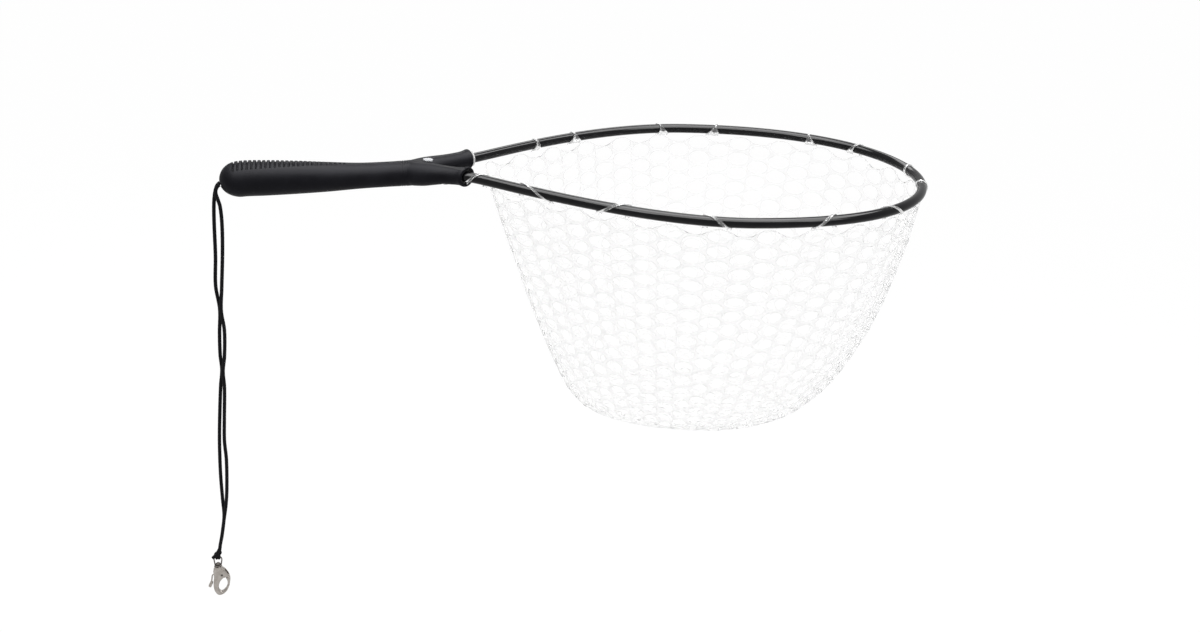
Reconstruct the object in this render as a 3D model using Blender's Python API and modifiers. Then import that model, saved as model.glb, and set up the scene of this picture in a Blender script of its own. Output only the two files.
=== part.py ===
"""Hand-held landing net with a rubber bag and a clip-on lanyard.

Metres, +Z up. The rim tube lies in the plane Z = 0, the handle points to -X and the hoop to +X.
The origin is the hand's place in the grip, level with the rim.
"""

import math

import bmesh
import bpy
from mathutils import Matrix, Vector
from mathutils.geometry import interpolate_bezier

MM = 0.001

# Clearance between pieces that touch or seat in each other
GAP = 0.3 * MM

# Rim tube: a teardrop hoop, mirrored about the plane Y = 0
TUBE_D = 8.0 * MM
TUBE_WALL = 1.0 * MM
SOCKET_X = 105.0 * MM
SOCKET_Y = 26.5 * MM
LEG_ANGLE = math.radians(28.0)
LEG_REACH = 18.1 * MM
HOOP_WIDE_X = 305.9 * MM
HOOP_WIDE_Y = 132.0 * MM
HOOP_BACK_REACH = 88.9 * MM
HOOP_FRONT_REACH = 119.6 * MM
HOOP_TIP_X = 477.8 * MM
HOOP_TIP_REACH = 63.3 * MM
TUBE_INSERT = 32.0 * MM

# Grip: stations along X, each with the height of its middle and its diameter
TAIL_X = -91.8 * MM
TAIL_ROUNDING = 15.8 * MM
TAIL_Z = -14.6 * MM
TAIL_D = 28.4 * MM
GRIP_STATIONS = [
    (-76.0 * MM, -10.9 * MM, 28.4 * MM),
    (-57.0 * MM, -9.9 * MM, 28.0 * MM),
    (-32.0 * MM, -9.1 * MM, 26.2 * MM),
    (-8.0 * MM, -8.4 * MM, 23.6 * MM),
    (17.0 * MM, -7.2 * MM, 20.7 * MM),
    (42.0 * MM, -5.5 * MM, 20.1 * MM),
    (56.0 * MM, -4.4 * MM, 20.5 * MM),
    (68.0 * MM, -3.1 * MM, 20.0 * MM),
]

# Fork: two socket legs, each given by distance back from its mouth, droop and radius
LEG_STATIONS = [
    (52.0 * MM, -4.2 * MM, 9.8 * MM),
    (42.0 * MM, -3.2 * MM, 9.6 * MM),
    (33.0 * MM, -2.2 * MM, 8.7 * MM),
    (22.0 * MM, -1.2 * MM, 7.5 * MM),
    (9.0 * MM, -0.4 * MM, 7.1 * MM),
    (4.5 * MM, -0.1 * MM, 7.4 * MM),
    (1.2 * MM, 0.0, 8.2 * MM),
    (0.0, 0.0, 8.0 * MM),
]
WEB_X = 69.0 * MM
WEB_SIZE = (21.0 * MM, 14.0 * MM, 11.5 * MM)
WEB_DROP = 2.1 * MM
FACET_Z = 6.3 * MM
FACET_START_X = 57.0 * MM
FACET_MOUTH_MARGIN = 7.0 * MM

# Thumb grooves on top of the rear half, and fine grooves round the neck
GROOVE_COUNT = 25
GROOVE_FIRST_X = -81.0 * MM
GROOVE_PITCH = 3.57 * MM
GROOVE_RADIUS = 1.3 * MM
GROOVE_DEPTH = 1.1 * MM
GROOVE_REAR_REACH = math.radians(66.0)
GROOVE_FRONT_REACH = math.radians(13.0)
NECK_GROOVE_COUNT = 3
NECK_GROOVE_FIRST_X = 49.5 * MM
NECK_GROOVE_PITCH = 1.9 * MM
NECK_GROOVE_RADIUS = 0.5 * MM
NECK_GROOVE_DEPTH = 0.35 * MM

# Plain disc on the fork
BADGE_X = 70.4 * MM
BADGE_D = 8.0 * MM
BADGE_THICK = 1.0 * MM
BADGE_SINK = 0.6 * MM

# Bush in each socket mouth
BUSH_WALL = 1.3 * MM
BUSH_LENGTH = 8.0 * MM
BUSH_SINK = 0.6 * MM

# Screw that holds each tube end from below, and the plug that it bites in
PLUG_LENGTH = 14.0 * MM
SCREW_BACK = 24.0 * MM
SCREW_D = 3.0 * MM
SCREW_TIP_Z = 1.4 * MM
SCREW_HEAD_D = 5.6 * MM
SCREW_HEAD_H = 2.0 * MM
SCREW_HEAD_Z = -6.6 * MM
SCREW_DRIVE_D = 2.2 * MM
SCREW_DRIVE_DEPTH = 1.1 * MM

# Rubber bag: its top edge hangs under the rim tube, its floor is an oval
BAG_START_X = 118.0 * MM
BAG_DEPTH = 212.0 * MM
BAG_FLOOR_X = 297.0 * MM
BAG_FLOOR_LENGTH = 182.0 * MM
BAG_FLOOR_WIDTH = 112.0 * MM
BAG_FLOOR_SAG = 4.0 * MM
BAG_WALL = 0.8 * MM
BAG_STRAIGHT_BACK = 0.70
BAG_STRAIGHT_FRONT = 0.25
BAG_COLUMNS_HOOP = 37
BAG_COLUMNS_FORK = 5
BAG_ROWS = [0.0, 0.14, 0.30, 0.46, 0.61, 0.75, 0.87, 0.96, 1.0]
BAG_FLOOR_RINGS = [0.6]

# Lanyard: doubled cord out of a slot in the tail, round a pin inside
CORD_D = 3.0 * MM
CORD_STEP = 3.2 * CORD_D
CORD_FINE_STEP = 0.8 * CORD_D
CORD_FINE_LENGTH = 18.0 * MM
CORD_LEAD = 1.0 * MM
CORD_PIVOT_OUT = 0.2 * MM
EXIT_Z = -15.0 * MM
EXIT_TILT = math.radians(40.0)
LANYARD_PIN_D = 2.4 * MM
LANYARD_PIN_LENGTH = 9.0 * MM
LANYARD_PIN_BACK = 11.3 * MM
STRAND_FAR_ROUTE = [
    (-94.2 * MM, 2.9 * MM, -17.6 * MM),
    (-95.2 * MM, 2.7 * MM, -20.2 * MM),
    (-96.2 * MM, 2.4 * MM, -24.7 * MM),
    (-97.0 * MM, 2.0 * MM, -32.0 * MM),
    (-97.4 * MM, 1.8 * MM, -46.0 * MM),
    (-97.4 * MM, 1.7 * MM, -76.0 * MM),
    (-98.2 * MM, 1.7 * MM, -101.6 * MM),
    (-95.7 * MM, 1.7 * MM, -122.0 * MM),
    (-96.6 * MM, 1.7 * MM, -143.0 * MM),
    (-96.8 * MM, 1.7 * MM, -162.0 * MM),
    (-95.9 * MM, 1.7 * MM, -176.0 * MM),
    (-97.4 * MM, 1.7 * MM, -191.0 * MM),
    (-99.2 * MM, 1.7 * MM, -220.0 * MM),
    (-100.2 * MM, 1.7 * MM, -243.0 * MM),
    (-100.4 * MM, 1.7 * MM, -272.0 * MM),
    (-99.6 * MM, 1.7 * MM, -297.0 * MM),
    (-98.9 * MM, 1.7 * MM, -314.0 * MM),
    (-101.2 * MM, 1.7 * MM, -333.0 * MM),
    (-103.0 * MM, 1.7 * MM, -342.0 * MM),
    (-103.4 * MM, 1.7 * MM, -345.5 * MM),
]
STRAND_NEAR_ROUTE = [
    (-94.1 * MM, -2.9 * MM, -17.6 * MM),
    (-94.9 * MM, -2.7 * MM, -20.3 * MM),
    (-94.7 * MM, -2.5 * MM, -23.2 * MM),
    (-93.5 * MM, -2.2 * MM, -27.5 * MM),
    (-92.0 * MM, -1.9 * MM, -33.5 * MM),
    (-91.1 * MM, -1.7 * MM, -48.0 * MM),
    (-91.5 * MM, -1.7 * MM, -71.0 * MM),
    (-93.2 * MM, -1.7 * MM, -102.0 * MM),
    (-94.3 * MM, -1.7 * MM, -122.0 * MM),
    (-92.4 * MM, -1.7 * MM, -139.0 * MM),
    (-93.1 * MM, -1.7 * MM, -162.0 * MM),
    (-94.7 * MM, -1.7 * MM, -176.0 * MM),
    (-94.1 * MM, -1.7 * MM, -191.0 * MM),
    (-95.2 * MM, -1.7 * MM, -220.0 * MM),
    (-95.8 * MM, -1.7 * MM, -240.0 * MM),
    (-94.8 * MM, -1.7 * MM, -258.0 * MM),
    (-95.4 * MM, -1.7 * MM, -286.0 * MM),
    (-96.6 * MM, -1.7 * MM, -301.0 * MM),
    (-98.8 * MM, -1.7 * MM, -316.0 * MM),
    (-101.0 * MM, -1.7 * MM, -331.0 * MM),
    (-103.0 * MM, -1.7 * MM, -342.0 * MM),
    (-103.4 * MM, -1.7 * MM, -345.5 * MM),
]

# Knot: rings of the same cord round the strands and round the bail, and the cut end
KNOT_STUB_LENGTH = 3.0 * MM
KNOT_RING_R = 2.5 * MM
KNOT_RING_DROP = 3.6 * MM
KNOT_RING_TILT = math.radians(24.0)
KNOT_END_SIZE = (8.0 * MM, 4.8 * MM)
KNOT_END_Y = -3.0 * MM

# Swivel: bail wire with its base plate, and the rivet that joins it to the clasp
CLASP_X = -105.4 * MM
BAIL_TOP_Z = -353.1 * MM
BAIL_WIRE_D = 1.2 * MM
BAIL_HALF_WIDTH = 3.3 * MM
BAIL_SHOULDER = 2.4 * MM
PLATE_D = 6.2 * MM
PLATE_THICK = 1.2 * MM
COLLAR_TOP_Z = -362.6 * MM
RIVET_D = 2.0 * MM
RIVET_HEAD_D = 4.0 * MM
RIVET_HEAD_H = 1.9 * MM
RIVET_SEAT_DEPTH = 2.4 * MM

# Clasp, in its own plane: X across, Z down from the top of its collar
CLASP_THICK = 5.0 * MM
CLASP_EDGE = 0.7 * MM
CLASP_OUTLINE = [
    (-3.3 * MM, -1.6 * MM),
    (3.3 * MM, -1.6 * MM),
    (6.9 * MM, -5.1 * MM),
    (9.7 * MM, -11.6 * MM),
    (9.6 * MM, -16.2 * MM),
    (8.4 * MM, -20.9 * MM),
    (5.8 * MM, -25.6 * MM),
    (2.5 * MM, -28.1 * MM),
    (-0.6 * MM, -28.3 * MM),
    (-3.0 * MM, -25.6 * MM),
    (-4.3 * MM, -21.4 * MM),
    (-4.4 * MM, -16.6 * MM),
    (-3.8 * MM, -10.0 * MM),
]
CLASP_EYE = [
    (5.3 * MM, -11.0 * MM),
    (7.1 * MM, -13.4 * MM),
    (7.5 * MM, -16.9 * MM),
    (6.8 * MM, -20.5 * MM),
    (4.7 * MM, -23.9 * MM),
    (1.9 * MM, -25.7 * MM),
    (0.3 * MM, -24.4 * MM),
    (-0.2 * MM, -21.0 * MM),
    (0.5 * MM, -16.9 * MM),
    (2.6 * MM, -13.0 * MM),
]
COLLAR_D = 7.0 * MM
COLLAR_HEIGHT = 3.0 * MM
PIVOT_X = 2.9 * MM
PIVOT_Z = -8.3 * MM
PIVOT_PIN_D = 1.4 * MM
CHEEK = 0.8 * MM
SLOT_TOP_Z = -3.4 * MM
SLOT_BOTTOM_Z = -12.6 * MM
GATE_TOP_Z = -10.5 * MM
GATE_TIP_Z = -17.2 * MM
GATE_INNER_X = 6.2 * MM
GATE_OUTER_X = 9.6 * MM
SEAM_TILT = math.radians(32.0)
SEAM_BELOW = 6.0 * MM

# Trigger: hub and arms of thin plate in the slot, with a full-width gate and a thumb tab
TRIGGER_PLATE = 1.1 * MM
TRIGGER_PLATE_Y = -0.7 * MM
TRIGGER_HUB_D = 4.6 * MM
LEVER_WIDTH = 1.3 * MM
LEVER_ROUTE = [
    (-1.4 * MM, -7.4 * MM),
    (-4.7 * MM, -8.2 * MM),
    (-5.7 * MM, -12.0 * MM),
    (-6.2 * MM, -16.6 * MM),
]
TAB_SIZE = (2.5 * MM, 3.8 * MM, 5.2 * MM)
TAB_CENTRE = (-6.9 * MM, -18.2 * MM)
TAB_TILT = math.radians(24.0)

# Torsion spring on the pin, beside the trigger
SPRING_WIRE_D = 0.36 * MM
SPRING_COIL_D = 3.0 * MM
SPRING_TURNS = 1.5
SPRING_Y = 0.45 * MM
SPRING_STEP = 0.5 * MM


def start_scene():
    for old in list(bpy.data.objects):
        bpy.data.objects.remove(old, do_unlink=True)
    net = bpy.data.collections.new("landing_net")
    cutters = bpy.data.collections.new("cutters")
    bpy.context.scene.collection.children.link(net)
    bpy.context.scene.collection.children.link(cutters)
    return net, cutters


NET, CUTTERS = start_scene()


def make_material(name, colour, roughness, metallic=0.0, alpha=1.0):
    material = bpy.data.materials.new(name)
    material.use_nodes = True
    shader = material.node_tree.nodes["Principled BSDF"]
    shader.inputs["Base Color"].default_value = (*colour, 1.0)
    shader.inputs["Roughness"].default_value = roughness
    shader.inputs["Metallic"].default_value = metallic
    shader.inputs["Alpha"].default_value = alpha
    return material


GRIP_RUBBER = make_material("grip_rubber", (0.020, 0.020, 0.022), 0.55)
BLACK_ALUMINIUM = make_material("black_aluminium", (0.012, 0.012, 0.013), 0.22, 0.6)
BLACK_PLASTIC = make_material("black_plastic", (0.008, 0.008, 0.008), 0.5)
CLEAR_RUBBER = make_material("clear_rubber", (0.86, 0.87, 0.88), 0.3, 0.0, 0.5)
SILVER_FILM = make_material("silver_film", (0.75, 0.76, 0.78), 0.3, 0.8)
BLACK_CORD = make_material("black_cord", (0.010, 0.010, 0.012), 0.85)
NICKEL = make_material("nickel", (0.62, 0.59, 0.55), 0.28, 1.0)
STEEL = make_material("steel", (0.45, 0.45, 0.46), 0.35, 1.0)


def add_object(name, data, material=None):
    made = bpy.data.objects.new(name, data)
    NET.objects.link(made)
    if material is not None:
        data.materials.append(material)
    return made


def as_cutter(made):
    """Take an object off the model's list: it only cuts or joins another."""
    for owner in list(made.users_collection):
        owner.objects.unlink(made)
    CUTTERS.objects.link(made)
    made.hide_render = True
    made.display_type = "WIRE"
    return made


def shade_round(made, angle=40.0):
    made.data.shade_smooth()
    made.data.set_sharp_from_angle(angle=math.radians(angle))
    return made


def mesh_from_curve(made):
    """Turn a curve object into a closed mesh of the same name and place."""
    bpy.context.view_layer.update()
    evaluated = made.evaluated_get(bpy.context.evaluated_depsgraph_get())
    mesh = bpy.data.meshes.new_from_object(evaluated)
    work = bmesh.new()
    work.from_mesh(mesh)
    bmesh.ops.remove_doubles(work, verts=work.verts, dist=0.002 * MM)
    bmesh.ops.recalc_face_normals(work, faces=work.faces)
    work.to_mesh(mesh)
    work.free()
    name = made.name
    place = made.matrix_world.copy()
    curve = made.data
    bpy.data.objects.remove(made, do_unlink=True)
    bpy.data.curves.remove(curve)
    solid = bpy.data.objects.new(name, mesh)
    solid.matrix_world = place
    NET.objects.link(solid)
    return shade_round(solid)


def tube(name, points, radius, material, sides=2, radii=None, closed=False):
    """Round bar of bevel resolution sides along straight steps between the points."""
    curve = bpy.data.curves.new(name, "CURVE")
    curve.dimensions = "3D"
    curve.bevel_depth = radius
    curve.bevel_resolution = sides
    curve.use_fill_caps = not closed
    spline = curve.splines.new("POLY")
    spline.points.add(len(points) - 1)
    for index, (point, spot) in enumerate(zip(spline.points, points)):
        point.co = (*spot, 1.0)
        if radii is not None:
            point.radius = radii[index] / radius
    spline.use_cyclic_u = closed
    return mesh_from_curve(add_object(name, curve, material))


def flat_plate(name, outlines, thickness, material, edge=0.0, steps=3):
    """Plate in the XZ plane, centred on Y = 0, from smooth closed outlines of X and Z."""
    curve = bpy.data.curves.new(name, "CURVE")
    curve.dimensions = "2D"
    curve.fill_mode = "BOTH"
    curve.extrude = thickness / 2 - edge
    curve.bevel_depth = edge
    curve.bevel_resolution = 1
    curve.offset = -edge
    curve.resolution_u = steps
    for outline in outlines:
        spline = curve.splines.new("BEZIER")
        spline.bezier_points.add(len(outline) - 1)
        for point, (across, up) in zip(spline.bezier_points, outline):
            point.co = (across, up, 0.0)
            point.handle_left_type = "AUTO"
            point.handle_right_type = "AUTO"
        spline.use_cyclic_u = True
    made = add_object(name, curve, material)
    made.matrix_world = Matrix.Rotation(math.radians(90.0), 4, "X")
    return mesh_from_curve(made)


def turned(name, profile, material, steps=20, closed=False):
    """Solid of revolution about Z from a profile of radius and height, given down its outer side."""
    mesh = bpy.data.meshes.new(name)
    edges = [(index, index + 1) for index in range(len(profile) - 1)]
    if closed:
        edges.append((len(profile) - 1, 0))
    mesh.from_pydata([(radius, 0.0, height) for radius, height in profile], edges, [])
    made = add_object(name, mesh, material)
    screw = made.modifiers.new("turn", "SCREW")
    screw.steps = steps
    screw.render_steps = steps
    screw.use_merge_vertices = True
    screw.merge_threshold = 0.00001
    screw.use_smooth_shade = True
    return made


def box(name, size, centre, material=None):
    """Box of three lengths about its centre."""
    mesh = bpy.data.meshes.new(name)
    work = bmesh.new()
    bmesh.ops.create_cube(work, size=1.0)
    bmesh.ops.scale(work, vec=size, verts=work.verts)
    work.to_mesh(mesh)
    work.free()
    made = add_object(name, mesh, material)
    made.location = centre
    return made


def ball(name, size, centre, material=None):
    """Ellipsoid of three diameters about its centre."""
    mesh = bpy.data.meshes.new(name)
    work = bmesh.new()
    bmesh.ops.create_uvsphere(work, u_segments=18, v_segments=10, radius=0.5)
    bmesh.ops.scale(work, vec=size, verts=work.verts)
    work.to_mesh(mesh)
    work.free()
    made = add_object(name, mesh, material)
    made.location = centre
    return made


def rod(name, diameter, start, end, material=None, sides=24):
    """Round bar between two points."""
    start, end = Vector(start), Vector(end)
    mesh = bpy.data.meshes.new(name)
    work = bmesh.new()
    bmesh.ops.create_cone(
        work, cap_ends=True, segments=sides, radius1=diameter / 2, radius2=diameter / 2,
        depth=(end - start).length,
    )
    work.to_mesh(mesh)
    work.free()
    made = add_object(name, mesh, material)
    made.rotation_mode = "QUATERNION"
    made.rotation_quaternion = (end - start).to_track_quat("Z", "Y")
    made.location = (start + end) / 2
    return shade_round(made)


def combine(target, tool, operation):
    cut = target.modifiers.new(operation.lower(), "BOOLEAN")
    cut.operation = operation
    cut.solver = "EXACT"
    cut.object = as_cutter(tool)
    return target


def combine_all(target, tools, operation):
    """One boolean with a whole group of tools."""
    group = bpy.data.collections.new(target.name + "_" + operation.lower())
    CUTTERS.children.link(group)
    for tool in tools:
        as_cutter(tool)
        CUTTERS.objects.unlink(tool)
        group.objects.link(tool)
    cut = target.modifiers.new(operation.lower(), "BOOLEAN")
    cut.operation = operation
    cut.solver = "EXACT"
    cut.operand_type = "COLLECTION"
    cut.collection = group
    return target


def smooth_points(route, step, fine_step=None, fine_length=0.0, start_way=None):
    """Points at even steps along a smooth curve through the route, finer at its start."""
    spots = [Vector(spot) for spot in route]
    before = spots[1] - start_way if start_way is not None else spots[0] * 2 - spots[1]
    spots = [before] + spots + [spots[-1] * 2 - spots[-2]]
    dense = []
    for index in range(1, len(spots) - 2):
        a, b, c, d = spots[index - 1:index + 3]
        handle = (c - b).length / 3
        leave = b + (c - a).normalized() * handle
        arrive = c - (d - b).normalized() * handle
        dense += interpolate_bezier(b, leave, arrive, c, 40)[:-1]
    dense.append(spots[-2])
    points = [dense[0]]
    walked = 0.0
    since = 0.0
    for before, after in zip(dense, dense[1:]):
        walked += (after - before).length
        since += (after - before).length
        wanted = fine_step if fine_step and walked < fine_length else step
        if since >= wanted:
            points.append(after)
            since = 0.0
    if (points[-1] - dense[-1]).length < step / 3:
        points.pop()
    points.append(dense[-1])
    return points


def between(stations, place):
    """Smooth value columns at a place along stations whose first column is the place."""
    stations = sorted(stations)
    places = [row[0] for row in stations]
    place = min(max(place, places[0]), places[-1])
    index = 0
    while index < len(stations) - 2 and place > places[index + 1]:
        index += 1
    width = places[index + 1] - places[index]
    share = (place - places[index]) / width
    values = []
    for column in range(1, len(stations[0])):
        slopes = []
        for at in (index, index + 1):
            low, high = max(at - 1, 0), min(at + 1, len(stations) - 1)
            rise = stations[high][column] - stations[low][column]
            slopes.append(rise / (places[high] - places[low]) * width)
        start, end = stations[index][column], stations[index + 1][column]
        values.append(
            start * (2 * share**3 - 3 * share**2 + 1)
            + end * (3 * share**2 - 2 * share**3)
            + slopes[0] * (share**3 - 2 * share**2 + share)
            + slopes[1] * (share**3 - share**2)
        )
    return values


def leg_direction(side):
    return Vector((math.cos(LEG_ANGLE), side * math.sin(LEG_ANGLE), 0.0))


def socket_mouth(side):
    return Vector((SOCKET_X, side * SOCKET_Y, 0.0))


def hoop_line(steps):
    """Centreline of the hoop from the near socket mouth (Y < 0) round to the far one."""
    half = []
    mouth, wide, tip = socket_mouth(1), Vector((HOOP_WIDE_X, HOOP_WIDE_Y, 0)), Vector((HOOP_TIP_X, 0, 0))
    leave = mouth + leg_direction(1) * LEG_REACH
    half += interpolate_bezier(mouth, leave, wide - Vector((HOOP_BACK_REACH, 0, 0)), wide, steps)[:-1]
    ahead = wide + Vector((HOOP_FRONT_REACH, 0, 0))
    half += interpolate_bezier(wide, ahead, tip + Vector((0, HOOP_TIP_REACH, 0)), tip, steps)
    near = [Vector((spot.x, -spot.y, 0.0)) for spot in half]
    return near + list(reversed(half[:-1]))


def grip_middle(place):
    """Height of the grip's middle and its radius at a place along X."""
    height, diameter = between([(TAIL_X, TAIL_Z, TAIL_D)] + GRIP_STATIONS, place)
    radius = diameter / 2
    into = place - TAIL_X
    if into < TAIL_ROUNDING:
        radius *= math.sqrt(max(1.0 - (1.0 - into / TAIL_ROUNDING) ** 2, 0.0))
    return height, radius


def grip_blank():
    """The turned-looking body of the grip, from the tail to inside the fork."""
    places = [TAIL_X + TAIL_ROUNDING * (1.0 - math.cos(math.radians(angle))) for angle in range(8, 90, 11)]
    front = GRIP_STATIONS[-1][0]
    count = 16
    start = TAIL_X + TAIL_ROUNDING
    places += [start + (front - start) * index / count for index in range(count + 1)]
    line = []
    radii = []
    for place in places:
        height, radius = grip_middle(place)
        line.append((place, 0.0, height))
        radii.append(radius)
    return tube("handle", line, TAIL_D / 2, GRIP_RUBBER, sides=8, radii=radii)


def socket_leg(side):
    mouth = socket_mouth(side)
    line = []
    radii = []
    reach = LEG_STATIONS[0][0]
    inner = [reach * (1.0 - index / 9) for index in range(9)]
    places = [spot for spot in inner if spot > LEG_STATIONS[-3][0] * 1.2]
    places += [row[0] for row in LEG_STATIONS[-3:]]
    for place in places:
        droop, radius = between(LEG_STATIONS, place)
        spot = mouth - leg_direction(side) * place
        line.append((spot.x, spot.y, spot.z + droop))
        radii.append(radius)
    return tube("socket_leg", line, LEG_STATIONS[-1][2], None, sides=6, radii=radii)


def thumb_groove(index):
    """Bent round cutter over the top of the grip, narrower towards the front."""
    place = GROOVE_FIRST_X + GROOVE_PITCH * index
    height, radius = grip_middle(place)
    share = index / (GROOVE_COUNT - 1)
    reach = GROOVE_REAR_REACH + (GROOVE_FRONT_REACH - GROOVE_REAR_REACH) * share**1.4
    ride = radius - GROOVE_DEPTH + GROOVE_RADIUS
    count = 5
    line = []
    for step in range(count + 1):
        angle = reach * (2.0 * step / count - 1.0)
        line.append((place, ride * math.sin(angle), height + ride * math.cos(angle)))
    return tube("thumb_groove", line, GROOVE_RADIUS, None, sides=0)


def neck_groove(index):
    place = NECK_GROOVE_FIRST_X + NECK_GROOVE_PITCH * index
    height, radius = grip_middle(place)
    ride = radius - NECK_GROOVE_DEPTH + NECK_GROOVE_RADIUS
    count = 20
    line = []
    for step in range(count):
        angle = 2.0 * math.pi * step / count
        line.append((place, ride * math.sin(angle), height + ride * math.cos(angle)))
    return tube("neck_groove", line, NECK_GROOVE_RADIUS, None, sides=0, closed=True)


def screw_place(side):
    spot = socket_mouth(side) - leg_direction(side) * SCREW_BACK
    return spot.x, spot.y


def screw_hole(side):
    """Cutter for the screw's shank, used on the handle, the tube and the plug."""
    across, aside = screw_place(side)
    return rod(
        "screw_hole", SCREW_D + 2 * GAP, (across, aside, SCREW_HEAD_Z - SCREW_HEAD_H),
        (across, aside, SCREW_TIP_Z + GAP), sides=12,
    )


def head_recess(side):
    across, aside = screw_place(side)
    return rod(
        "head_recess", SCREW_HEAD_D + 2 * GAP, (across, aside, SCREW_HEAD_Z - 4 * SCREW_HEAD_H),
        (across, aside, SCREW_HEAD_Z + GAP), sides=16,
    )


def exit_way():
    """Direction in which the cord leaves the tail."""
    return Vector((-math.cos(EXIT_TILT), 0.0, -math.sin(EXIT_TILT)))


def pin_way():
    return Vector((-math.sin(EXIT_TILT), 0.0, math.cos(EXIT_TILT)))


def inside_tail(depth):
    """Spot at a depth along the cord's slot, on the plane Y = 0."""
    return Vector((TAIL_X, 0.0, EXIT_Z)) - exit_way() * depth


def bight_radius():
    return LANYARD_PIN_D / 2 + GAP + CORD_D / 2


def cord_slot():
    """Slot in the tail for the doubled cord, as wide as the turn round the pin."""
    outer = bight_radius() + CORD_D / 2 + GAP
    deep = LANYARD_PIN_BACK + outer
    slot = box(
        "cord_slot", (deep + CORD_D, 2 * outer, CORD_D + 2 * GAP), inside_tail((deep - CORD_D) / 2)
    )
    slot.rotation_euler = (0.0, -EXIT_TILT, 0.0)
    rounding = slot.modifiers.new("rounding", "BEVEL")
    rounding.width = CORD_D * 0.45
    rounding.segments = 2
    return slot


def socket_cutters(side):
    """Bores for the bush, the tube end and the screw of one leg."""
    mouth, along = socket_mouth(side), leg_direction(side)
    bush_d = TUBE_D + 4 * GAP + 2 * BUSH_WALL
    past = mouth + along * BUSH_LENGTH
    bush_seat = rod("bush_seat", bush_d, mouth - along * (BUSH_SINK + BUSH_LENGTH + GAP), past)
    tube_seat = rod("tube_seat", TUBE_D + 2 * GAP, mouth - along * (TUBE_INSERT + GAP), past)
    return [bush_seat, tube_seat, screw_hole(side), head_recess(side)]


def top_cutters():
    """Flat facet along the top of the fork, and the seat of the disc in it."""
    facet_end = SOCKET_X - FACET_MOUTH_MARGIN
    facet = box(
        "fork_facet", (facet_end - FACET_START_X, 4 * SOCKET_Y, FACET_Z),
        ((facet_end + FACET_START_X) / 2, 0.0, FACET_Z * 1.5),
    )
    badge_seat = rod(
        "badge_seat", BADGE_D + 2 * GAP, (BADGE_X, 0.0, FACET_Z - BADGE_SINK),
        (BADGE_X, 0.0, FACET_Z + BADGE_THICK), sides=24,
    )
    return [facet, badge_seat]


def tail_cutters():
    pin = inside_tail(LANYARD_PIN_BACK)
    half_pin = pin_way() * (LANYARD_PIN_LENGTH / 2 + GAP)
    pin_seat = rod("pin_seat", LANYARD_PIN_D + 2 * GAP, pin - half_pin, pin + half_pin, sides=12)
    return [cord_slot(), pin_seat]


def make_handle():
    """Grip, legs and web joined, then cut; every cutter is made before the first boolean."""
    legs = [socket_leg(side) for side in (-1, 1)]
    web = ball("fork_web", WEB_SIZE, (WEB_X, 0.0, -WEB_DROP))
    groups = [top_cutters(), socket_cutters(-1), socket_cutters(1), tail_cutters()]
    grooves = [thumb_groove(index) for index in range(GROOVE_COUNT)]
    grooves += [neck_groove(index) for index in range(NECK_GROOVE_COUNT)]
    handle = grip_blank()
    for joined in legs + [web]:
        combine(handle, joined, "UNION")
    for group in groups + [grooves]:
        combine_all(handle, group, "DIFFERENCE")


def make_badge():
    low = FACET_Z - BADGE_SINK + GAP
    rod("fork_badge", BADGE_D, (BADGE_X, 0.0, low), (BADGE_X, 0.0, low + BADGE_THICK), SILVER_FILM, sides=24)


def make_bush(side, name):
    inner = TUBE_D / 2 + GAP
    outer = inner + BUSH_WALL
    half = BUSH_LENGTH / 2
    bush = turned(
        name, [(outer, half), (outer, -half), (inner, -half), (inner, half)], BLACK_PLASTIC, closed=True
    )
    bush.rotation_mode = "QUATERNION"
    bush.rotation_quaternion = leg_direction(side).to_track_quat("Z", "Y")
    bush.location = socket_mouth(side) - leg_direction(side) * (BUSH_SINK + half)


def make_rim_tube():
    line = hoop_line(12)
    ends = [socket_mouth(side) - leg_direction(side) * TUBE_INSERT for side in (-1, 1)]
    rim = tube("rim_tube", [ends[0]] + line + [ends[1]], TUBE_D / 2, BLACK_ALUMINIUM, sides=4)
    past = [socket_mouth(side) - leg_direction(side) * (TUBE_INSERT + TUBE_D) for side in (-1, 1)]
    bore = tube("rim_bore", [past[0]] + line + [past[1]], TUBE_D / 2 - TUBE_WALL, None, sides=1)
    combine_all(rim, [bore, screw_hole(-1), screw_hole(1)], "DIFFERENCE")


def make_tube_plug(side, name):
    end = socket_mouth(side) - leg_direction(side) * (TUBE_INSERT - GAP)
    plug = rod(
        name, TUBE_D - 2 * TUBE_WALL - 4 * GAP, end, end + leg_direction(side) * PLUG_LENGTH,
        BLACK_PLASTIC, sides=12,
    )
    combine(plug, screw_hole(side), "DIFFERENCE")


def make_rim_screw(side, name):
    across, aside = screw_place(side)
    head, shank, drive = SCREW_HEAD_D / 2, SCREW_D / 2, SCREW_DRIVE_D / 2
    bottom = SCREW_HEAD_Z - SCREW_HEAD_H
    screw = turned(
        name,
        [
            (0.0, SCREW_TIP_Z),
            (shank, SCREW_TIP_Z - shank * 0.6),
            (shank, SCREW_HEAD_Z),
            (head, SCREW_HEAD_Z),
            (head, bottom + SCREW_HEAD_H * 0.3),
            (head * 0.75, bottom),
            (drive, bottom),
            (drive, bottom + SCREW_DRIVE_DEPTH),
            (0.0, bottom + SCREW_DRIVE_DEPTH),
        ],
        STEEL, steps=12,
    )
    screw.location = (across, aside, 0.0)


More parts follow.
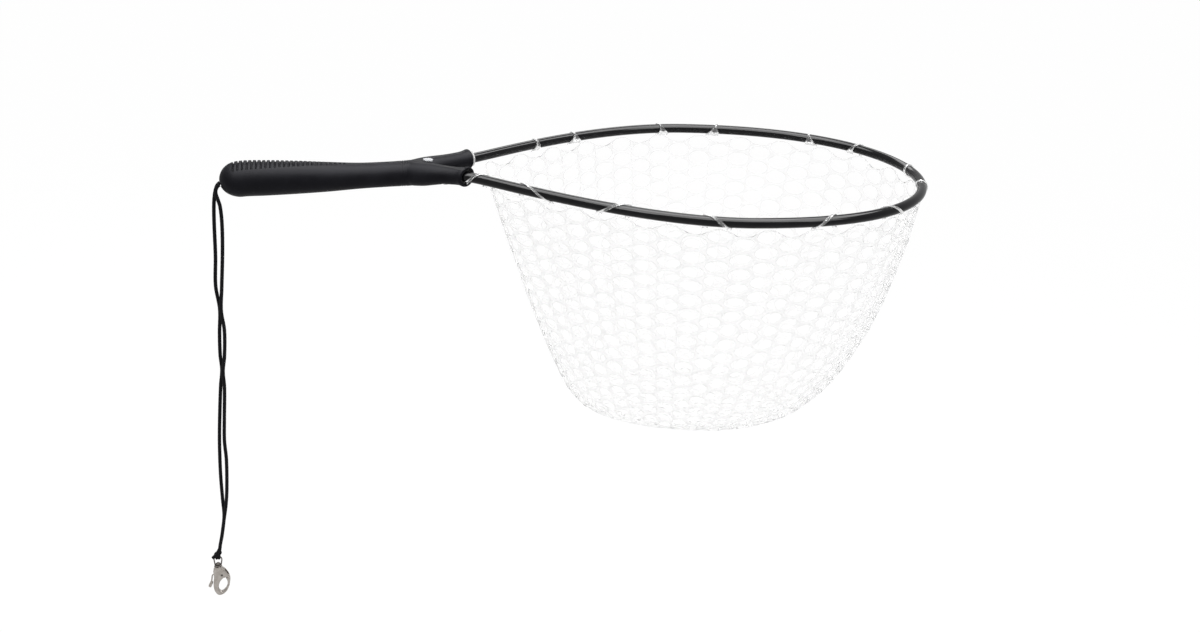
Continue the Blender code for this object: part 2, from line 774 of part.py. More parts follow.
def bag_top_ring():
    """Ring of the bag's top edge: round the hoop, then across the fork."""
    line = [spot for spot in hoop_line(60) if spot.x > BAG_START_X]
    lengths = [0.0]
    for before, after in zip(line, line[1:]):
        lengths.append(lengths[-1] + (after - before).length)
    ring = []
    at = 0
    for index in range(BAG_COLUMNS_HOOP + 1):
        wanted = lengths[-1] * index / BAG_COLUMNS_HOOP
        while at < len(line) - 2 and lengths[at + 1] < wanted:
            at += 1
        share = (wanted - lengths[at]) / (lengths[at + 1] - lengths[at])
        ring.append(line[at].lerp(line[at + 1], share))
    first, last = ring[0], ring[-1]
    for index in range(1, BAG_COLUMNS_FORK):
        ring.append(last.lerp(first, index / BAG_COLUMNS_FORK))
    return ring


def make_net_bag():
    """Loft from the teardrop rim to an oval floor; the back wall leans, the front wall hangs."""
    top_z = -(TUBE_D / 2 + GAP)
    floor_middle = Vector((BAG_FLOOR_X, 0.0, 0.0))
    mesh = bpy.data.meshes.new("net_bag")
    work = bmesh.new()
    rings = []
    ring = bag_top_ring()
    turns = []
    for spot in ring:
        turns.append(math.atan2(spot.y / HOOP_WIDE_Y, (spot.x - BAG_FLOOR_X) / (HOOP_TIP_X - BAG_FLOOR_X)))
    for share in BAG_ROWS:
        row = []
        for spot, turn in zip(ring, turns):
            floor = floor_middle + Vector((
                math.cos(turn) * BAG_FLOOR_LENGTH / 2, math.sin(turn) * BAG_FLOOR_WIDTH / 2, 0.0
            ))
            middle = (BAG_STRAIGHT_BACK + BAG_STRAIGHT_FRONT) / 2
            straight = middle + (BAG_STRAIGHT_FRONT - middle) * math.cos(turn)
            inward = straight * share + (1.0 - straight) * (1.0 - math.sqrt(1.0 - share**2))
            flat = spot.lerp(floor, inward)
            row.append(work.verts.new((flat.x, flat.y, top_z - (BAG_DEPTH + top_z) * share)))
        rings.append(row)
    for scale in BAG_FLOOR_RINGS:
        row = []
        for turn in turns:
            row.append(work.verts.new((
                BAG_FLOOR_X + math.cos(turn) * BAG_FLOOR_LENGTH / 2 * scale,
                math.sin(turn) * BAG_FLOOR_WIDTH / 2 * scale,
                -BAG_DEPTH - BAG_FLOOR_SAG * (1.0 - scale**2),
            )))
        rings.append(row)
    count = len(ring)
    for upper, lower in zip(rings, rings[1:]):
        for index in range(count):
            after = (index + 1) % count
            work.faces.new((upper[index], upper[after], lower[after], lower[index]))
    middle = work.verts.new((BAG_FLOOR_X, 0.0, -BAG_DEPTH - BAG_FLOOR_SAG))
    for index in range(count):
        work.faces.new((rings[-1][index], rings[-1][(index + 1) % count], middle))
    bmesh.ops.recalc_face_normals(work, faces=work.faces)
    work.to_mesh(mesh)
    work.free()
    bag = add_object("net_bag", mesh, CLEAR_RUBBER)
    shade_round(bag, 60.0)
    wall = bag.modifiers.new("wall", "SOLIDIFY")
    wall.thickness = BAG_WALL
    wall.offset = -1.0


def make_lanyard():
    """Cord round the pin, then the two free strands; each starts with a round end, on which it swings."""
    pin = inside_tail(LANYARD_PIN_BACK)
    half_pin = pin_way() * LANYARD_PIN_LENGTH / 2
    rod("lanyard_pin", LANYARD_PIN_D, pin - half_pin, pin + half_pin, STEEL, sides=16)
    turn = Vector((0.0, bight_radius(), 0.0))
    bight_end = inside_tail(CORD_D / 2 + GAP - CORD_PIVOT_OUT)
    line = [bight_end - turn]
    for degrees in range(-90, 91, 20):
        angle = math.radians(degrees)
        line.append(pin - exit_way() * turn.y * math.cos(angle) + turn * math.sin(angle))
    line.append(bight_end + turn)
    tube("lanyard_bight", line, CORD_D / 2, BLACK_CORD, sides=1)
    round_end = [(math.sin(math.radians(angle)), math.cos(math.radians(angle))) for angle in (72, 45, 20)]
    for name, side, route in (
        ("lanyard_strand_far", 1, STRAND_FAR_ROUTE),
        ("lanyard_strand_near", -1, STRAND_NEAR_ROUTE),
    ):
        start = inside_tail(-CORD_PIVOT_OUT) + side * turn
        lead = start + exit_way() * CORD_LEAD
        points = [start - exit_way() * back * CORD_D / 2 for back, _ in round_end]
        radii = [width * CORD_D / 2 for _, width in round_end]
        points += [start] + smooth_points(
            [lead] + route, CORD_STEP, CORD_FINE_STEP, CORD_FINE_LENGTH, exit_way()
        )
        radii += [CORD_D / 2] * (len(points) - len(radii))
        tube(name, points, CORD_D / 2, BLACK_CORD, sides=1, radii=radii)


def ring_bar(name, middle, radius, axis, tilt=0.0):
    """Closed ring of cord round a middle, about the axis X or Z, tilted about Y."""
    line = []
    count = 12
    for index in range(count):
        angle = 2.0 * math.pi * index / count
        across, up = radius * math.cos(angle), radius * math.sin(angle)
        spot = Vector((0.0, across, up)) if axis == "X" else Vector((across, up, 0.0))
        spot.rotate(Matrix.Rotation(tilt, 3, "Y"))
        line.append(middle + spot)
    return tube(name, line, CORD_D / 2 * 0.94, None, closed=True)


def make_knot():
    """Short cord stubs, a ring round them, a ring round the bail, and the cut end."""
    far_end, near_end = Vector(STRAND_FAR_ROUTE[-1]), Vector(STRAND_NEAR_ROUTE[-1])
    below = Vector((0.0, 0.0, -KNOT_STUB_LENGTH))
    gap = Vector((0.0, 0.0, -GAP))
    knot = rod("lanyard_knot", CORD_D, near_end + gap, near_end + below, BLACK_CORD, sides=12)
    pieces = [rod("far_stub", CORD_D, far_end + gap, far_end + below, sides=12)]
    middle = (far_end + near_end) / 2 + Vector((-0.6 * MM, 0.0, -KNOT_RING_DROP))
    pieces.append(ring_bar("strand_ring", middle, KNOT_RING_R, "Z", KNOT_RING_TILT))
    bail_top = Vector((CLASP_X + 0.5 * MM, 0.0, BAIL_TOP_Z))
    ring_radius = BAIL_WIRE_D / 2 + GAP + CORD_D / 2
    pieces.append(ring_bar("bail_ring", bail_top, ring_radius, "X"))
    neck_top = middle
    neck = bail_top + Vector((0.0, 0.0, ring_radius))
    pieces.append(rod("neck", CORD_D * 1.1, neck_top, neck, sides=12))
    along, down = KNOT_END_SIZE
    start = Vector((middle.x + 1.4 * MM, KNOT_END_Y, middle.z - 0.6 * MM))
    bend = start + Vector((-along * 0.5, 0.0, -down * 0.3))
    tip = start + Vector((-along, 0.0, -down))
    pieces.append(tube("cut_end", smooth_points([start, bend, tip], CORD_D / 2), CORD_D / 2, None))
    combine_all(knot, pieces, "UNION")


def clasp_point(across, up, aside=0.0):
    return Vector((CLASP_X + across, aside, COLLAR_TOP_Z + up))


def plate_middle_z():
    return COLLAR_TOP_Z + GAP + PLATE_THICK / 2


def make_bail():
    """Wire arch standing on a round base plate that the rivet goes through."""
    foot_z = plate_middle_z()
    foot_x = PLATE_D / 2 - BAIL_WIRE_D / 2
    widest_z = (foot_z + BAIL_TOP_Z) / 2 + BAIL_WIRE_D
    half = [
        (0.0, BAIL_TOP_Z),
        (BAIL_HALF_WIDTH * 0.62, BAIL_TOP_Z - BAIL_SHOULDER * 0.14),
        (BAIL_HALF_WIDTH * 0.95, BAIL_TOP_Z - BAIL_SHOULDER * 0.75),
        (BAIL_HALF_WIDTH, widest_z),
        (foot_x, foot_z),
    ]
    spots = [(-across, height) for across, height in reversed(half)] + half[1:]
    route = [(CLASP_X + across, 0.0, height) for across, height in spots]
    arch = tube("bail_arch", smooth_points(route, BAIL_WIRE_D * 0.9), BAIL_WIRE_D / 2, None)
    outer, inner = PLATE_D / 2, RIVET_D / 2 + GAP
    half_plate = PLATE_THICK / 2
    plate = turned(
        "swivel_bail",
        [(outer, half_plate), (outer, -half_plate), (inner, -half_plate), (inner, half_plate)],
        NICKEL, closed=True,
    )
    plate.location = (CLASP_X, 0.0, foot_z)
    combine(plate, arch, "UNION")


def make_rivet():
    plate_top = COLLAR_TOP_Z + GAP + PLATE_THICK
    head_low = plate_top + GAP
    head, shank = RIVET_HEAD_D / 2, RIVET_D / 2
    profile = [(0.0, head_low + RIVET_HEAD_H)]
    for degrees in (30, 60):
        angle = math.radians(degrees)
        profile.append((head * math.sin(angle), head_low + RIVET_HEAD_H * math.cos(angle)))
    profile += [
        (head, head_low + RIVET_HEAD_H * 0.2),
        (head, head_low),
        (shank, head_low),
        (shank, COLLAR_TOP_Z - RIVET_SEAT_DEPTH),
        (0.0, COLLAR_TOP_Z - RIVET_SEAT_DEPTH),
    ]
    rivet = turned("swivel_rivet", profile, NICKEL, steps=16)
    rivet.location = (CLASP_X, 0.0, 0.0)


def at_clasp(made):
    made.matrix_world = Matrix.Translation(clasp_point(0.0, 0.0)) @ made.matrix_world
    return made


def above_seam(lift):
    """Block above the slanted seam between the gate's tip and the nose."""
    wide = 20.0 * MM
    middle = clasp_point(
        GATE_OUTER_X - math.sin(SEAM_TILT) * (wide / 2 + lift),
        GATE_TIP_Z + math.cos(SEAM_TILT) * (wide / 2 + lift),
    )
    block = box("above_seam", (2 * wide, 3 * CLASP_THICK, wide), middle)
    block.rotation_euler = (0.0, -SEAM_TILT, 0.0)
    return block


def make_clasp_body():
    body = at_clasp(flat_plate("clasp_body", [CLASP_OUTLINE, CLASP_EYE], CLASP_THICK, NICKEL, CLASP_EDGE))
    collar = rod(
        "collar", COLLAR_D, clasp_point(0.0, 0.0), clasp_point(0.0, -COLLAR_HEIGHT), sides=24
    )
    combine(body, collar, "UNION")
    wide = 40.0 * MM
    slot_height = SLOT_TOP_Z - SLOT_BOTTOM_Z
    slot = box(
        "trigger_slot", (wide, CLASP_THICK - 2 * CHEEK, slot_height),
        clasp_point(0.0, (SLOT_TOP_Z + SLOT_BOTTOM_Z) / 2),
    )
    gate_low = GATE_TIP_Z - SEAM_BELOW
    gate_room = box(
        "gate_room", (wide / 2, 2 * CLASP_THICK, GATE_TOP_Z + GAP - gate_low),
        clasp_point(GATE_INNER_X - 2 * GAP + wide / 4, (GATE_TOP_Z + GAP + gate_low) / 2),
    )
    combine(gate_room, above_seam(-GAP), "INTERSECT")
    rivet_seat = rod(
        "rivet_seat", RIVET_D + 2 * GAP, clasp_point(0.0, COLLAR_HEIGHT),
        clasp_point(0.0, -RIVET_SEAT_DEPTH - GAP), sides=20,
    )
    pin_hole = rod(
        "pin_hole", PIVOT_PIN_D + 2 * GAP, clasp_point(PIVOT_X, PIVOT_Z, -CLASP_THICK),
        clasp_point(PIVOT_X, PIVOT_Z, CLASP_THICK), sides=16,
    )
    combine_all(body, [slot, gate_room, rivet_seat, pin_hole], "DIFFERENCE")


def make_clasp_pin():
    half = CLASP_THICK / 2 - GAP
    rod(
        "clasp_pin", PIVOT_PIN_D, clasp_point(PIVOT_X, PIVOT_Z, -half),
        clasp_point(PIVOT_X, PIVOT_Z, half), STEEL, sides=16,
    )


def make_trigger():
    """Hub, gate arm and thumb lever, cut from the clasp's own outline where they join it."""
    plate_low = TRIGGER_PLATE_Y - TRIGGER_PLATE / 2
    plate_high = TRIGGER_PLATE_Y + TRIGGER_PLATE / 2
    trigger = rod(
        "clasp_trigger", TRIGGER_HUB_D, clasp_point(PIVOT_X, PIVOT_Z, plate_low),
        clasp_point(PIVOT_X, PIVOT_Z, plate_high), NICKEL, sides=24,
    )
    gate = at_clasp(flat_plate("gate", [CLASP_OUTLINE, CLASP_EYE], CLASP_THICK, None, CLASP_EDGE))
    wide = 40.0 * MM
    keep = box(
        "gate_keep", (wide / 2, 2 * CLASP_THICK, GATE_TOP_Z - GATE_TIP_Z + SEAM_BELOW),
        clasp_point(GATE_INNER_X + wide / 4, (GATE_TOP_Z + GATE_TIP_Z - SEAM_BELOW) / 2),
    )
    combine(keep, above_seam(0.0), "INTERSECT")
    combine(gate, keep, "INTERSECT")
    root = flat_plate(
        "gate_root",
        [[
            (PIVOT_X, PIVOT_Z + TRIGGER_HUB_D * 0.48),
            (PIVOT_X + 3.6 * MM, PIVOT_Z + 0.6 * MM),
            (GATE_INNER_X + 2.6 * MM, GATE_TOP_Z - 1.0 * MM),
            (GATE_INNER_X + 2.0 * MM, GATE_TOP_Z - 3.6 * MM),
            (GATE_INNER_X + 1.2 * MM, GATE_TOP_Z - 1.4 * MM),
            (PIVOT_X + 1.2 * MM, PIVOT_Z - TRIGGER_HUB_D * 0.42),
        ]],
        TRIGGER_PLATE, None,
    )
    root.matrix_world = Matrix.Translation((0.0, TRIGGER_PLATE_Y, 0.0)) @ root.matrix_world
    route = [(PIVOT_X, PIVOT_Z)] + LEVER_ROUTE
    spots = [clasp_point(across, up, TRIGGER_PLATE_Y) for across, up in route]
    lever = tube("lever", smooth_points(spots, LEVER_WIDTH), LEVER_WIDTH / 2, None)
    tab = box("thumb_tab", TAB_SIZE, clasp_point(*TAB_CENTRE))
    tab.rotation_euler = (0.0, TAB_TILT, 0.0)
    rounding = tab.modifiers.new("rounding", "BEVEL")
    rounding.width = 0.7 * MM
    rounding.segments = 2
    combine_all(trigger, [gate, at_clasp(root), lever, tab], "UNION")
    hole = rod(
        "hub_hole", PIVOT_PIN_D + 2 * GAP, clasp_point(PIVOT_X, PIVOT_Z, -CLASP_THICK),
        clasp_point(PIVOT_X, PIVOT_Z, CLASP_THICK), sides=16,
    )
    combine(trigger, hole, "DIFFERENCE")


def make_spring():
    """Two turns of fine wire round the pin."""
    line = []
    per_turn = 12
    radius = SPRING_COIL_D / 2 - SPRING_WIRE_D / 2
    for index in range(int(SPRING_TURNS * per_turn) + 1):
        angle = 2.0 * math.pi * index / per_turn
        spot = clasp_point(
            PIVOT_X + radius * math.cos(angle), PIVOT_Z + radius * math.sin(angle),
            SPRING_Y + SPRING_STEP * index / per_turn,
        )
        line.append(spot)
    tube("clasp_spring", line, SPRING_WIRE_D / 2, STEEL, sides=1)


def build():
    make_badge()
    make_rim_tube()
    for side, word in ((-1, "near"), (1, "far")):
        make_bush(side, "socket_bush_" + word)
        make_tube_plug(side, "tube_plug_" + word)
        make_rim_screw(side, "rim_screw_" + word)
    make_net_bag()
    make_lanyard()
    make_knot()
    make_bail()
    make_rivet()
    make_clasp_body()
    make_clasp_pin()
    make_trigger()
    make_spring()
    make_handle()


build()
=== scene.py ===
# Landing net with a clear rubber bag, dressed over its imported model
import math
from bisect import bisect_left

import bmesh
import bpy
from mathutils import Matrix, Vector, noise
from mathutils.geometry import interpolate_bezier


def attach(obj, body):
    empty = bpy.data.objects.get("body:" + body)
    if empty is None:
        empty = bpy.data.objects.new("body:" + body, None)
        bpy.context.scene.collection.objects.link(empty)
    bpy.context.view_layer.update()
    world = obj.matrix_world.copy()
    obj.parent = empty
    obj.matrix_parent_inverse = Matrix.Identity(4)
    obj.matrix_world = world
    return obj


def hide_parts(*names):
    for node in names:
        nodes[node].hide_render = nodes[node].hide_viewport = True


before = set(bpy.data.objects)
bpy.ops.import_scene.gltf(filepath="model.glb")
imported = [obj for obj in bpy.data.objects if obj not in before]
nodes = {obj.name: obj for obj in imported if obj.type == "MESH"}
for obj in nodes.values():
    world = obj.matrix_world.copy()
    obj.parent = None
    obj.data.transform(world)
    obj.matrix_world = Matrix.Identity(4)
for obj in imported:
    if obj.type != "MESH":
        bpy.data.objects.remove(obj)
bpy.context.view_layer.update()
mm = 0.001
print("frame loaded:", len(nodes), "nodes")

# camera

shot = {
    "lens": 45.0,
    "sensor": 36.0,
    "clipStart": 0.02,
    "clipEnd": 60.0,
    "eye": (0.00803, -1.15829, 0.35034),
    "right": (0.98630747, -0.15398411, 0.05904638),
    "up": (0.00423582, 0.38157256, 0.92432918),
    "back": (-0.16486249, -0.91142266, 0.37700012),
}


def makeCamera():
    data = bpy.data.cameras.new("camera")
    data.lens = shot["lens"]
    data.sensor_width = shot["sensor"]
    data.clip_start = shot["clipStart"]
    data.clip_end = shot["clipEnd"]
    camera = bpy.data.objects.new("camera", data)
    bpy.context.scene.collection.objects.link(camera)
    turned = Matrix((shot["right"], shot["up"], shot["back"])).transposed()
    camera.matrix_world = Matrix.Translation(shot["eye"]) @ turned.to_4x4()
    bpy.context.scene.camera = camera


makeCamera()
bpy.context.scene.view_settings.view_transform = "Standard"
print("camera set")

# shared makers

upright = Vector((0.0, 0.0, 1.0))
curveSteps = 60  # points along each stretch of a smooth line


def addMesh(name, mesh, finish=None):
    made = bpy.data.objects.new(name, mesh)
    bpy.context.scene.collection.objects.link(made)
    if finish is not None:
        mesh.materials.clear()
        mesh.materials.append(finish)
    return made


def meshFrom(name, spots, faces, finish=None, smooth=True):
    mesh = bpy.data.meshes.new(name)
    mesh.from_pydata([tuple(spot) for spot in spots], [], faces)
    mesh.validate()
    if smooth:
        mesh.shade_smooth()
    return addMesh(name, mesh, finish)


def settle(made):  # modifiers become plain mesh
    bpy.context.view_layer.update()
    deps = bpy.context.evaluated_depsgraph_get()
    mesh = bpy.data.meshes.new_from_object(made.evaluated_get(deps))
    made.modifiers.clear()
    old = made.data
    made.data = mesh
    bpy.data.meshes.remove(old)
    return made


def remesh(made, voxel):
    step = made.modifiers.new("voxels", "REMESH")
    step.mode = "VOXEL"
    step.voxel_size = voxel
    step.use_smooth_shade = True
    return settle(made)


def relax(made, rounds, factor=0.5):
    step = made.modifiers.new("relax", "SMOOTH")
    step.factor = factor
    step.iterations = rounds
    return settle(made)


def cutAway(made, tools):
    for tool in tools:
        step = made.modifiers.new("cut", "BOOLEAN")
        step.operation = "DIFFERENCE"
        step.solver = "MANIFOLD"
        step.object = tool
    settle(made)
    for tool in tools:
        bpy.data.objects.remove(tool, do_unlink=True)
    return made


def smoothLine(route, step, startWay=None):
    spots = [Vector(spot) for spot in route]
    before = spots[1] - startWay if startWay is not None else spots[0] * 2 - spots[1]
    spots = [before] + spots + [spots[-1] * 2 - spots[-2]]
    dense = []
    for index in range(1, len(spots) - 2):
        a, b, c, d = spots[index - 1:index + 3]
        arm = (c - b).length / 3
        leave = b + (c - a).normalized() * arm
        arrive = c - (d - b).normalized() * arm
        dense += interpolate_bezier(b, leave, arrive, c, curveSteps)[:-1]
    dense.append(spots[-2])
    return evenLine(dense, step)


def walkedAlong(line):  # the way walked to each spot
    walked = [0.0]
    for before, after in zip(line, line[1:]):
        walked.append(walked[-1] + (after - before).length)
    return walked


def spotAt(line, walked, wanted):
    at = min(max(bisect_left(walked, wanted) - 1, 0), len(line) - 2)
    span = walked[at + 1] - walked[at]
    share = (wanted - walked[at]) / span if span > 0 else 0.0
    return line[at].lerp(line[at + 1], share)


def evenLine(dense, step):  # resampled at equal steps, both ends kept
    walked = walkedAlong(dense)
    count = max(2, round(walked[-1] / step))
    return [spotAt(dense, walked, walked[-1] * index / count) for index in range(count + 1)]


def sweep(name, line, radius, sides, finish=None, closed=False, swell=None):
    # round bar along the line; swell(step, angle) scales the radius, radius may be a list
    spots = []
    count = len(line)
    radii = radius if isinstance(radius, list) else [radius] * count
    side = None
    for index, spot in enumerate(line):
        after = line[(index + 1) % count] if closed or index < count - 1 else spot
        before = line[index - 1] if closed or index > 0 else spot
        way = (after - before).normalized()
        if side is None:
            side = way.orthogonal().normalized()
        side = (side - way * side.dot(way)).normalized()
        other = way.cross(side)
        for turn in range(sides):
            angle = 2 * math.pi * turn / sides
            reach = radii[index] * (swell(index, angle) if swell else 1.0)
            spots.append(spot + side * math.cos(angle) * reach + other * math.sin(angle) * reach)
    faces = []
    for ring in range(count if closed else count - 1):
        low, high = ring * sides, (ring + 1) % count * sides
        for turn in range(sides):
            after = (turn + 1) % sides
            faces.append((low + turn, low + after, high + after, high + turn))
    if not closed:
        faces.append(tuple(reversed(range(sides))))
        faces.append(tuple(range((count - 1) * sides, count * sides)))
    return meshFrom(name, spots, faces, finish)


def rod(name, start, end, radius, sides=32):
    return sweep(name, [Vector(start), Vector(end)], radius, sides)


def between(stations, place):  # smooth values at a place along rows (place, value, ...)
    stations = sorted(stations)
    places = [row[0] for row in stations]
    place = min(max(place, places[0]), places[-1])
    index = 0
    while index < len(stations) - 2 and place > places[index + 1]:
        index += 1
    width = places[index + 1] - places[index]
    share = (place - places[index]) / width
    values = []
    for column in range(1, len(stations[0])):
        slopes = []
        for at in (index, index + 1):
            low, high = max(at - 1, 0), min(at + 1, len(stations) - 1)
            rise = stations[high][column] - stations[low][column]
            slopes.append(rise / (places[high] - places[low]) * width)
        start, end = stations[index][column], stations[index + 1][column]
        values.append(
            start * (2 * share**3 - 3 * share**2 + 1)
            + end * (3 * share**2 - 2 * share**3)
            + slopes[0] * (share**3 - 2 * share**2 + share)
            + slopes[1] * (share**3 - share**2)
        )
    return values


# finishes

grainLow, grainHigh = 0.3, 0.7  # the part of a noise that the two tones spread over


def startFinish(name, colour, roughness, metallic=0.0):
    finish = bpy.data.materials.new(name)
    finish.use_nodes = True
    tree = finish.node_tree
    shader = tree.nodes["Principled BSDF"]
    shader.inputs["Base Color"].default_value = (*colour, 1.0)
    shader.inputs["Roughness"].default_value = roughness
    shader.inputs["Metallic"].default_value = metallic
    place = tree.nodes.new("ShaderNodeTexCoord")
    return finish, tree, shader, place


def grainNode(tree, place, scale, detail=2.0, stretch=None):
    grain = tree.nodes.new("ShaderNodeTexNoise")
    grain.inputs["Scale"].default_value = scale
    grain.inputs["Detail"].default_value = detail
    source = place.outputs["Object"]
    if stretch is not None:
        mapping = tree.nodes.new("ShaderNodeMapping")
        mapping.inputs["Scale"].default_value = stretch
        tree.links.new(source, mapping.inputs["Vector"])
        source = mapping.outputs["Vector"]
    tree.links.new(source, grain.inputs["Vector"])
    return grain.outputs["Fac"]


def tintBetween(tree, fac, low, high, target):
    ramp = tree.nodes.new("ShaderNodeValToRGB")
    ramp.color_ramp.elements[0].position = grainLow
    ramp.color_ramp.elements[1].position = grainHigh
    ramp.color_ramp.elements[0].color = (*low, 1.0)
    ramp.color_ramp.elements[1].color = (*high, 1.0)
    tree.links.new(fac, ramp.inputs["Fac"])
    tree.links.new(ramp.outputs["Color"], target)


def roughBetween(tree, fac, low, high, shader):
    span = tree.nodes.new("ShaderNodeMapRange")
    span.inputs["From Min"].default_value = grainLow
    span.inputs["From Max"].default_value = grainHigh
    span.inputs["To Min"].default_value = low
    span.inputs["To Max"].default_value = high
    tree.links.new(fac, span.inputs["Value"])
    tree.links.new(span.outputs["Result"], shader.inputs["Roughness"])


def raiseFrom(tree, height, distance, strength, shader):
    bump = tree.nodes.new("ShaderNodeBump")
    bump.inputs["Distance"].default_value = distance
    bump.inputs["Strength"].default_value = strength
    tree.links.new(height, bump.inputs["Height"])
    tree.links.new(bump.outputs["Normal"], shader.inputs["Normal"])


def gripRubberFinish():
    finish, tree, shader, place = startFinish("gripRubber", (0.008, 0.008, 0.011), 0.45)
    shader.inputs["Specular IOR Level"].default_value = 0.06
    patch = grainNode(tree, place, 45.0, 3.0)
    tintBetween(tree, patch, (0.006, 0.006, 0.008), (0.011, 0.011, 0.014), shader.inputs["Base Color"])
    roughBetween(tree, patch, 0.38, 0.48, shader)
    raiseFrom(tree, grainNode(tree, place, 2600.0, 4.0), 0.00006, 0.5, shader)
    return finish


def anodisedFinish():
    finish, tree, shader, place = startFinish("blackAnodisedTube", (0.005, 0.005, 0.006), 0.2)
    shader.inputs["Specular IOR Level"].default_value = 0.2
    drawn = grainNode(tree, place, 60.0, 3.0)
    tintBetween(tree, drawn, (0.003, 0.003, 0.004), (0.007, 0.007, 0.008), shader.inputs["Base Color"])
    roughBetween(tree, drawn, 0.09, 0.13, shader)
    return finish


def clearRubberFinish(name, bend, clear, tint):
    finish, tree, shader, place = startFinish(name, (tint, tint, tint), 0.2)
    shader.inputs["IOR"].default_value = bend
    shader.inputs["Transmission Weight"].default_value = clear
    cloud = grainNode(tree, place, 70.0, 3.0)
    pale, deep = tint + 0.015, tint - 0.015
    tintBetween(tree, cloud, (deep, deep, deep), (pale, pale, pale), shader.inputs["Base Color"])
    roughBetween(tree, cloud, 0.14, 0.26, shader)
    raiseFrom(tree, grainNode(tree, place, 700.0, 2.0), 0.00006, 0.2, shader)
    return finish


def braidedCordFinish():
    finish, tree, shader, place = startFinish("braidedCord", (0.006, 0.006, 0.008), 0.75)
    shader.inputs["Specular IOR Level"].default_value = 0.1
    shader.inputs["Sheen Weight"].default_value = 0.06
    shader.inputs["Sheen Roughness"].default_value = 0.5
    fuzz = grainNode(tree, place, 1500.0, 4.0)
    tintBetween(tree, fuzz, (0.003, 0.003, 0.004), (0.012, 0.012, 0.014), shader.inputs["Base Color"])
    roughBetween(tree, fuzz, 0.7, 0.9, shader)
    raiseFrom(tree, fuzz, 0.00015, 0.6, shader)
    return finish


def nickelFinish(name, low, high):
    finish, tree, shader, place = startFinish(name, low, 0.26, 1.0)
    worn = grainNode(tree, place, 260.0, 4.0)
    tintBetween(tree, worn, low, high, shader.inputs["Base Color"])
    roughBetween(tree, worn, 0.28, 0.40, shader)
    raiseFrom(tree, grainNode(tree, place, 1800.0, 3.0), 0.00003, 0.4, shader)
    return finish


def steelFinish():
    finish, tree, shader, place = startFinish("bareSteel", (0.44, 0.44, 0.45), 0.34, 1.0)
    lines = grainNode(tree, place, 500.0, 3.0, (1.0, 8.0, 1.0))
    tintBetween(tree, lines, (0.38, 0.38, 0.39), (0.50, 0.50, 0.51), shader.inputs["Base Color"])
    roughBetween(tree, lines, 0.28, 0.42, shader)
    return finish


def blackPlasticFinish():
    finish, tree, shader, place = startFinish("blackPlastic", (0.005, 0.005, 0.005), 0.4)
    shader.inputs["Specular IOR Level"].default_value = 0.25
    mould = grainNode(tree, place, 900.0, 3.0)
    tintBetween(tree, mould, (0.004, 0.004, 0.004), (0.008, 0.008, 0.008), shader.inputs["Base Color"])
    roughBetween(tree, mould, 0.4, 0.52, shader)
    raiseFrom(tree, mould, 0.00004, 0.4, shader)
    return finish


def silverFilmFinish():
    finish, tree, shader, place = startFinish("silverFilm", (0.56, 0.57, 0.59), 0.3, 0.9)
    lines = grainNode(tree, place, 700.0, 3.0, (1.0, 12.0, 1.0))
    tintBetween(tree, lines, (0.48, 0.49, 0.51), (0.64, 0.65, 0.67), shader.inputs["Base Color"])
    roughBetween(tree, lines, 0.24, 0.36, shader)
    return finish


gripRubber = gripRubberFinish()
blackAnodised = anodisedFinish()
clearRubber = clearRubberFinish("clearRubber", 1.045, 0.9, 0.984)
clearBand = clearRubberFinish("clearRubberBand", 1.33, 0.93, 0.92)
milkyRubber = clearRubberFinish("milkyRubber", 1.3, 0.3, 0.95)
braidedCord = braidedCordFinish()
satinNickel = nickelFinish("satinNickel", (0.42, 0.385, 0.35), (0.58, 0.545, 0.51))
wornNickel = nickelFinish("wornNickel", (0.075, 0.068, 0.063), (0.24, 0.22, 0.205))
bareSteel = steelFinish()
blackPlastic = blackPlasticFinish()
silverFilm = silverFilmFinish()
print("finishes ready")

# lanyard: the two free strands, the turn inside the tail, the knot

